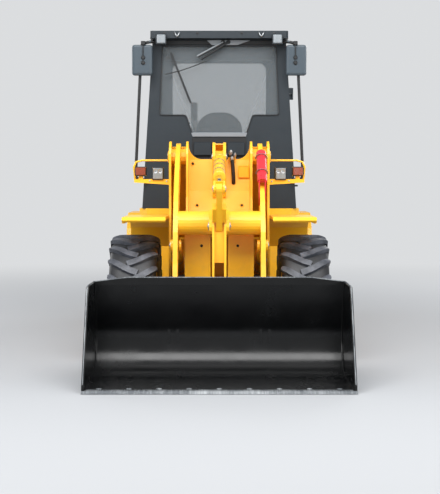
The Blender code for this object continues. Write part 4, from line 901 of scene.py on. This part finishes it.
# The side windows lean in with the walls.
for name, body, d, h, sign in (("door_window_seal", "cab_door", (3.091, 3.92), (1.62, 2.79), 1),
                               ("side_window_seal", "rear_chassis", (3.0853, 3.92), (1.72, 2.80), -1)):
    hoop(name, body, seal_rubber, flat_section(0.009, 0.003),
         [(sign * (cab_half(v) + 0.001), u, v) for u, v in chamfered(d, h)], 0.02, up=(1, 0, 0))
rear_corners = [(-0.45, 2.02), (0.45, 2.02), (0.50, 2.07), (0.50, 2.75), (0.45, 2.80), (-0.45, 2.80),
                (-0.50, 2.75), (-0.50, 2.07)]
hoop("rear_window_seal", "rear_chassis", seal_rubber, flat_section(0.003, 0.009),
     [(x, 4.201, h) for x, h in rear_corners], 0.02, up=(0, 1, 0))

skin("header_strip", "rear_chassis", black_plastic,
     pressed(oblong((-0.60, 0.60), (2.852, 2.892)), CAB_FRONT - 0.012, CAB_FRONT + 0.001, 0.003, "front", 0.008))
blind_cloth = plain("woven_blind_cloth", "#1D1F21", 0.9)
skin("roller_blind", "rear_chassis", blind_cloth, pressed(
    [(-0.50, 2.705), (0.50, 2.705), (0.51, 2.88), (-0.51, 2.88)],
    CAB_FRONT + 0.060, CAB_FRONT + 0.066, 0.001, "front", 0.004))
skin("blind_rail", "rear_chassis", black_plastic, turned(
    [(-0.505, 0.009), (-0.50, 0.011), (0.50, 0.011), (0.505, 0.009)],
    at(0, CAB_FRONT + 0.063, 2.702), (1, 0, 0), 14))
skin("headliner", "rear_chassis", blind_cloth,
     pressed(oblong((-0.585, 0.585), (3.04, 4.13)), 2.868, 2.896, 0.006, "plan", 0.03))
# Two pale demister strips run up the inside of the screen from its lower corners.
demist_print = plain("printed_silver_line", "#C2C8CA", 0.4)
for side, sign in SIDES:
    strip = route([(sign * 0.245, CAB_FRONT + 0.0275, 2.02), (sign * 0.452, CAB_FRONT + 0.0275, 2.56)])
    skin(f"demister_line_{side}", "rear_chassis", demist_print,
         carried(flat_section(0.0015, 0.003), strip, up=(0, 1, 0)))

wiper_d = CAB_FRONT - 0.030
bracket_grey = enamel("pale_grey_enamel", "#84898E", 0.50, dust_share=0.05)
skin("wiper_bracket", "rear_chassis", bracket_grey, pressed(
    [(-0.120, 2.892), (0.300, 2.892), (0.175, 2.846), (-0.072, 2.846)],
    wiper_d - 0.006, CAB_FRONT + 0.001, 0.002, "front", 0.010))
motor_cap = [(-0.02, 0.020), (0.006, 0.020), (0.010, 0.016), (0.010, 0)]
skin("wiper_motor_caps", "rear_chassis", black_plastic, np.stack([
    turned(motor_cap, at(x, wiper_d - 0.004, 2.874), (0, -1, 0), 20) for x in (0.035, 0.088)]))
for number, (start, finish, radius, material) in enumerate((
        ((0.035, 2.872), (-0.213, 2.739), 0.0075, bracket_grey),
        ((0.030, 2.858), (-0.208, 2.728), 0.0075, black_plastic),
        ((0.088, 2.874), (-0.171, 2.708), 0.0105, black_plastic))):
    line = [(start[0], wiper_d - 0.014, start[1]), (finish[0], wiper_d - 0.010, finish[1])]
    skin(f"wiper_arm_{number}", "rear_chassis", material, tube(radius, 10, line, up=(0, 1, 0)))
link_line = [(-0.133, wiper_d - 0.008, 2.690), (-0.213, wiper_d - 0.010, 2.655),
             (-0.372, wiper_d - 0.008, 2.600), (-0.516, wiper_d - 0.006, 2.566)]
skin("wiper_link", "rear_chassis", black_plastic, tube(0.0045, 8, link_line, 0.03, up=(0, 1, 0)))
blade_line = [(-0.465, wiper_d + 0.012, 2.775), (-0.372, wiper_d + 0.002, 2.54), (-0.275, wiper_d + 0.012, 2.295)]
blade = [(-0.010, -0.004), (0.010, -0.002), (0.010, 0.002), (-0.010, 0.004)]
skin("wiper_blade", "rear_chassis", seal_rubber, carried(blade, route(blade_line, 0.12), up=(0, 1, 0)))

skin("screen_lower_strip", "rear_chassis", seal_rubber,
     pressed(oblong((-0.262, 0.262), (1.78, 1.962)), CAB_FRONT - 0.004, CAB_FRONT + 0.001, 0.002, "front", 0.006))
skin("screen_lower_channel", "rear_chassis", bracket_grey, pressed(
    [(-0.258, 1.970), (0.258, 1.970), (0.272, 2.012), (-0.272, 2.012)],
    CAB_FRONT - 0.012, CAB_FRONT + 0.001, 0.004, "front", 0.010))
for number, x in enumerate((-0.16, 0.16)):
    skin(f"lower_service_box_{number}", "rear_chassis", cab_enamel,
         pressed(oblong((x - 0.085, x + 0.085), (1.79, 1.915)),
                 CAB_FRONT - 0.035, CAB_FRONT, 0.006, "front", 0.012))

ROOF_FACE = 2.85
roof_bolts = [at(x, ROOF_FACE, 2.948) for x in (-0.52, -0.208, 0.215, 0.52)]
skin("roof_bolts", "rear_chassis", black_plastic, hex_bolts(roof_bolts, (0, -1, 0), 0.010))
for side, sign in SIDES:
    hook = [(sign * x, ROOF_FACE + reach, h) for x, reach, h in (
        (0.375, 0.004, 2.958), (0.380, -0.018, 2.945), (0.400, -0.024, 2.908), (0.420, -0.018, 2.945),
        (0.425, 0.004, 2.958))]
    skin(f"tie_hook_{side}", "rear_chassis", zinc_plate, tube(0.006, 10, hook, 0.02, up=(0, 1, 0)))
hoop("roof_drip_rail", "rear_chassis", cab_enamel, flat_section(0.004, 0.004),
     [(x, d, 2.905) for x, d in oblong((-0.655, 0.655), (2.852, 4.249))], 0.03)
skin("roof_crown", "rear_chassis", cab_enamel, np.stack([np.stack([
    [at(share * x, d, h) for x, d in ((0.56, 2.95), (0.56, 4.15), (-0.56, 4.15), (-0.56, 2.95))]
    for share, h in ((1.0, 2.966), (1.0, 2.9695), (0.98, 2.9698))])]))

DOOR_X = float(cab_half(1.50)) + 0.002
handle = [(DOOR_X - 0.004, 3.10, 1.50), (DOOR_X + 0.030, 3.105, 1.50), (DOOR_X + 0.030, 3.215, 1.50),
          (DOOR_X - 0.004, 3.22, 1.50)]
skin("door_handle", "cab_door", black_plastic, tube(0.009, 12, handle, 0.02))
skin("door_handle_plate", "cab_door", black_plastic,
     pressed(oblong((3.075, 3.245), (1.465, 1.535)), DOOR_X - 0.006, DOOR_X + 0.004, 0.003, "side", 0.015))
skin("door_lock", "cab_door", zinc_plate, turned(
    [(-0.002, 0.012), (0.006, 0.012), (0.008, 0.010), (0.008, 0)], at(DOOR_X, 3.23, 1.44), (1, 0, 0), 20))
for side, sign, body, start, top in (("left", 1, "cab_door", 3.30, 1.58),
                                     ("right", -1, "rear_chassis", 3.15, 1.68)):
    ridge = [(sign * (cab_half(h) + 0.0005), d, h) for d, h in oblong((start, 3.86), (1.33, top))]
    hoop(f"pressed_panel_ridge_{side}", body, cab_enamel, round_section(0.004, 8), ridge, 0.04, up=(1, 0, 0))

# Grab rails of bent tube, one near the back of each side wall.
RAIL_D, RAIL_LOW, RAIL_HIGH = 4.10, 1.46, 2.10
for side, sign in SIDES:
    rail = [(sign * (float(cab_half(h)) + out), RAIL_D, h) for out, h in (
        (-0.01, RAIL_LOW), (0.05, RAIL_LOW), (0.05, RAIL_HIGH), (-0.01, RAIL_HIGH))]
    skin(f"grab_rail_{side}", "rear_chassis", black_plastic, tube(0.011, 12, rail, 0.05, up=(0, 1, 0)))

# Mirrors --------------------------------------------------------------------------
# Moulded grey shells clamped to long bent tube stays, silvered glass on the side that
# faces the driver, and a clamp and rod on the upper half of the side that faces ahead.

mirror_shell = plain("moulded_grey_polypropylene", "#3E4A53", 0.42)
finish_nodes(mirror_shell, "mirror_left", "mirror_right")
silver_glass = plain("silvered_mirror_glass", "#DDE2E4", 0.03, metallic=1.0)
MIRROR_D = 2.875
STAY = [(0.60, CAB_FRONT - 0.001, 2.868), (0.60, 2.90, 2.868), (0.66, MIRROR_D, 2.868), (0.735, MIRROR_D, 2.85),
        (0.743, MIRROR_D, 2.80), (0.800, MIRROR_D, 1.62), (0.797, MIRROR_D, 1.58), (0.775, MIRROR_D + 0.01, 1.56),
        (0.70, CAB_FRONT - 0.05, 1.555), (0.69, CAB_FRONT - 0.03, 1.555), (0.69, CAB_FRONT - 0.001, 1.555)]
ROD_X = 0.722
MIRROR_CLAMP = [(-0.004, 0.019), (0.008, 0.019), (0.014, 0.013), (0.014, 0.0)]
for side, sign in SIDES:
    skin(f"mirror_glass_{side}", "rear_chassis", silver_glass,
         pressed(oblong(span(sign, 0.648, 0.815), (2.560, 2.821)), 2.8690, 2.8725, 0.001, "front", 0.02))
    skin(f"mirror_stay_{side}", "rear_chassis", black_plastic,
         tube(0.0145, 14, [(sign * x, d, h) for x, d, h in STAY], 0.03, up=(0, 1, 0.02)))
    skin(f"mirror_rod_{side}", "rear_chassis", black_plastic,
         turned([(0, 0.005), (0.150, 0.005)], at(sign * ROD_X, 2.803, 2.690), (0, 0, 1), 12))
    skin(f"mirror_top_bracket_{side}", "rear_chassis", black_plastic,
         pressed(oblong(span(sign, 0.700, 0.742), (2.832, 2.868)), 2.800, 2.885, 0.004, "front", 0.008))
    for number, h in enumerate((2.665, 2.715)):
        skin(f"mirror_clamp_{side}_{number}", "rear_chassis", black_plastic,
             turned(MIRROR_CLAMP, at(sign * ROD_X, 2.812, h), (0, -1, 0), 20))

# Seat and controls ----------------------------------------------------------------
# A sprung seat in black grained vinyl over foam, with sewn channels, and a thin-rimmed
# wheel on a leaning column. Levers stand on a console at the driver's right hand.

seat_vinyl, vinyl_tree, vinyl_shader = new_finish("grained_seat_vinyl")
# Embossed leather grain of about 2 mm, drawn at 4 mm.
vinyl_grain = add_node(vinyl_tree, "ShaderNodeTexVoronoi", {"Vector": object_place(vinyl_tree), "Scale": 250.0})
emboss(vinyl_tree, vinyl_shader, vinyl_grain.outputs["Distance"], 0.4, 0.0008)
wire(vinyl_tree, vinyl_shader, {"Base Color": linear("#26282B"), "Roughness": 0.55})


def stuffed(name, node, stitched, across, upright, ease):
    """A padded block inside its CAD solid. A point at (a, b) of a sphere goes to the box as
    sign(c) * |c|^power of each sphere coordinate, which keeps the corners full and the
    faces crowned; sewn channels press in by a narrow bell curve about each stitched line."""
    low, high = (np.array(corner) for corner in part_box(node))
    middle, half = (low + high) / 2, (high - low) / 2
    a = np.linspace(-math.pi / 2, math.pi / 2, 61)[:, None]
    b = np.linspace(0, 2 * math.pi, 112, endpoint=False)[None]
    power = np.array([0.34, 0.34, ease])
    ball = np.stack([np.cos(a) * np.cos(b), np.cos(a) * np.sin(b), np.sin(a) * np.ones_like(b)], -1)
    order, thin = ([0, 2, 1], 1) if upright else ([0, 1, 2], 2)
    ball = ball[..., order]
    shape = np.sign(ball) * np.abs(ball) ** power[order]
    if upright:
        dome = np.clip((shape[..., 2] - 0.35) / 0.65, 0, 1)
        shape[..., 0] *= np.sqrt(1 - 0.75 * dome ** 2)
    dip = sum(np.exp(-((shape[..., across] - line) / 0.035) ** 2) for line in stitched)
    shape[..., thin] *= 1 - 0.16 * np.minimum(dip, 1) - 0.10 * np.sum(np.delete(shape, thin, -1) ** 4, -1) / 2
    piece = skin(name, "rear_chassis", seat_vinyl, middle + shape * half * 0.985, angle=80)
    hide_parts(node)
    return piece


stuffed("seat_cushion_pad", "seat_cushion", (-0.45, 0.0, 0.45), 0, False, 0.62)
stuffed("seat_back_pad", "seat_back", (-0.4, 0.05, 0.42), 2, True, 0.62)
finish_nodes(black_plastic, "seat_base", "steering_column")
skin("control_console", "rear_chassis", black_plastic,
     pressed(oblong((-0.52, -0.34), (3.38, 3.95)), 1.285, 1.72, 0.02, "plan", 0.05))
for number, (x, d) in enumerate(((-0.46, 3.46), (-0.40, 3.46))):
    skin(f"lever_{number}", "rear_chassis", zinc_plate,
         turned([(0, 0.006), (0.13, 0.005)], at(x, d, 1.715), (0, -0.15, 1), 10))
    skin(f"lever_knob_{number}", "rear_chassis", black_plastic,
         turned([(0, 0.0), (0.004, 0.012), (0.018, 0.019), (0.036, 0.016), (0.046, 0.007), (0.048, 0)],
                at(x, d - 0.019, 1.84), (0, -0.15, 1), 20))

# Hood and tail --------------------------------------------------------------------
# Pressed sheet over the engine, with louvres punched in its sides, a grille of bars in
# its back, rubber latches and the exhaust. The tail is one cast block with lamps above.

HOOD_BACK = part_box("engine_hood")[1].y - EDGE_Y
HOOD_X = 0.520                           # half the hood's width
LOUVRES = [(c, h) for c in (4.68, 5.08) for h in np.linspace(1.44, 1.74, 9)]
# A louvre's ends fade out: (distance from its middle, share of its full section).
SWELL = ((-0.15, 0.05), (-0.14, 0.75), (-0.12, 1.0), (0.12, 1.0), (0.14, 0.75), (0.15, 0.05))
t = np.linspace(0, math.pi, 9)
LOUVRE = np.concatenate([
    np.stack([0.009 * np.sin(t), 0.011 * np.cos(t)], 1), [(-0.002, -0.011), (-0.002, 0.011)]])
for side, sign in SIDES:
    skin(f"hood_louvres_{side}", "engine_hood", yellow_enamel, np.array([
        [[at(sign * (HOOD_X + u * swell), c + along, h + v * swell) for u, v in LOUVRE] for along, swell in SWELL]
        for c, h in LOUVRES]))
    skin(f"hood_louvre_slots_{side}", "engine_hood", hole_dark, np.stack([
        pressed(oblong((c - 0.128, c + 0.128), (h - 0.0165, h - 0.0105)),
                *span(sign, 0.518, 0.5212), 0.0004, "side")
        for c, h in LOUVRES]))
    skin(f"hood_seam_{side}", "engine_hood", yellow_enamel,
         tube(0.004, 8, [(sign * HOOD_X, 4.325, 1.80), (sign * HOOD_X, 5.485, 1.80)]))
    skin(f"hood_latch_{side}", "engine_hood", seal_rubber,
         pressed(oblong((5.34, 5.38), (1.262, 1.385)), *span(sign, 0.519, 0.535), 0.003, "side", 0.012))
    for name, h, lens in (("tail_lamp", (1.72, 1.80), red_lens), ("tail_turn_lamp", (1.63, 1.712), orange_lens)):
        lamp_set(f"{name}_{side}", "engine_hood",
                 span(sign, 0.385, 0.495), h, HOOD_BACK + 0.018, HOOD_BACK - 0.002, lens, look=1)
skin("rear_grille_shadow", "engine_hood", hole_dark, pressed(
    oblong((-0.34, 0.34), (1.32, 1.81)), HOOD_BACK - 0.004, HOOD_BACK - 0.0005, 0.001, "front", 0.03))
skin("rear_grille_bars", "engine_hood", black_plastic, np.stack([
    pressed(oblong((-0.335, 0.335), (h, h + 0.010)), HOOD_BACK - 0.001, HOOD_BACK + 0.010, 0.002, "front")
    for h in np.linspace(1.335, 1.785, 19)]))
hoop("rear_grille_frame", "engine_hood", yellow_enamel, flat_section(0.006, 0.012),
     [(x, HOOD_BACK + 0.004, h) for x, h in oblong((-0.345, 0.345), (1.315, 1.815))], 0.05, up=(0, 1, 0))
skin("rear_grille_posts", "engine_hood", black_plastic, np.stack([
    pressed(oblong((x - 0.008, x + 0.008), (1.33, 1.80)), HOOD_BACK + 0.001, HOOD_BACK + 0.014, 0.003, "front")
    for x in (-0.17, 0.0, 0.17)]))

exhaust_steel = enamel("heat_dulled_black_enamel", "#26221F", 0.55, dust="#5A4636", dust_share=0.3, coat=0.0)
finish_nodes(exhaust_steel, "exhaust_stack")
stack_low, stack_high = (np.array(corner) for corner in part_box("exhaust_stack"))
STACK_FOOT, STACK_TOP = (np.array([*(stack_low + stack_high)[:2] / 2, z]) for z in (stack_low[2], stack_high[2]))
skin("exhaust_flange", "engine_hood", exhaust_steel, turned(
    [(0.0, 0.036), (0.0, 0.070), (0.008, 0.070), (0.012, 0.060), (0.03, 0.048), (0.03, 0.036)],
    STACK_FOOT, (0, 0, 1), 32), loop=True)
skin("exhaust_shield", "engine_hood", zinc_plate, turned(
    [(0.08, 0.050), (0.08, 0.053), (0.30, 0.053), (0.30, 0.050)], STACK_FOOT, (0, 0, 1), 36), loop=True)
# A slot is drawn flat, stood up with its length upright and turned to its place.
slot = pressed(oblong((-0.004, 0.004), (-0.016 - EDGE_Y, 0.016 - EDGE_Y)), 0, 0.001, 0.0002, "plan")
skin("exhaust_shield_slots", "engine_hood", hole_dark, np.stack([
    slot @ np.array([(math.cos(t), math.sin(t), 0), (0, 0, 1), (-math.sin(t), math.cos(t), 0)])
    + STACK_FOOT + (-0.0532 * math.sin(t), 0.0532 * math.cos(t), level)
    for t in np.linspace(0, 2 * math.pi, 10, endpoint=False) for level in (0.12, 0.19, 0.26)]))
skin("exhaust_bore", "engine_hood", hole_dark,
     turned([(-0.003, 0.032), (0.0008, 0.032), (0.0008, 0)], STACK_TOP, (0, 0, 1), 24))

skin("tow_hitch_pocket", "rear_chassis", hole_dark,
     pressed(oblong((-0.11, 0.11), (0.86, 1.04)), 5.694, 5.6998, 0.001, "front", 0.02))
skin("tow_pin", "rear_chassis", zinc_plate,
     turned([(0, 0.017), (0.24, 0.017)], at(0, 5.682, 0.83), (0, 0, 1), 16))
skin("tail_lift_eyes", "rear_chassis", yellow_enamel, np.stack([
    carried(round_section(0.010, 10), route([(x, d, h) for d, h in (
        (5.56, 1.232), (5.56, 1.30), (5.62, 1.30), (5.62, 1.232))], 0.03, 8), up=(1, 0, 0))
    for x in (-0.56, 0.56)]))
# Steps: grip strips along the treads, and a filler cap on the right side. The rear
# mudguards have the same folded bead as the front ones.
for side, sign in SIDES:
    for number, low in enumerate((0.63, 0.90)):
        skin(f"step_grips_{side}_{number}", "rear_chassis", zinc_plate, np.stack([
            pressed(oblong((3.145, 3.385), (0, 0.006)), *span(sign, x, x + 0.012), 0.0015, "side") + (0, 0, low)
            for x in np.linspace(0.655, 0.745, 5)]))
    low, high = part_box(f"rear_fender_{side}")
    edge_x = (high.x if sign > 0 else low.x) - sign * 0.004
    top = high.z - 0.004
    bead = [(edge_x, d, h) for d, h in (
        (3.472, 0.802), (3.558, 1.066), (3.735, top), (4.505, top), (4.668, 1.064), (4.75, 0.842))]
    skin(f"rear_fender_bead_{side}", "rear_chassis", yellow_enamel, tube(0.0055, 8, bead, 0.04, up=(1, 0, 0)))
skin("fuel_cap", "rear_chassis", black_plastic, turned(
    [(-0.002, 0.040), (0.018, 0.040), (0.024, 0.034), (0.024, 0)], at(-0.765, 3.27, 1.145), (-1, 0, 0), 28))
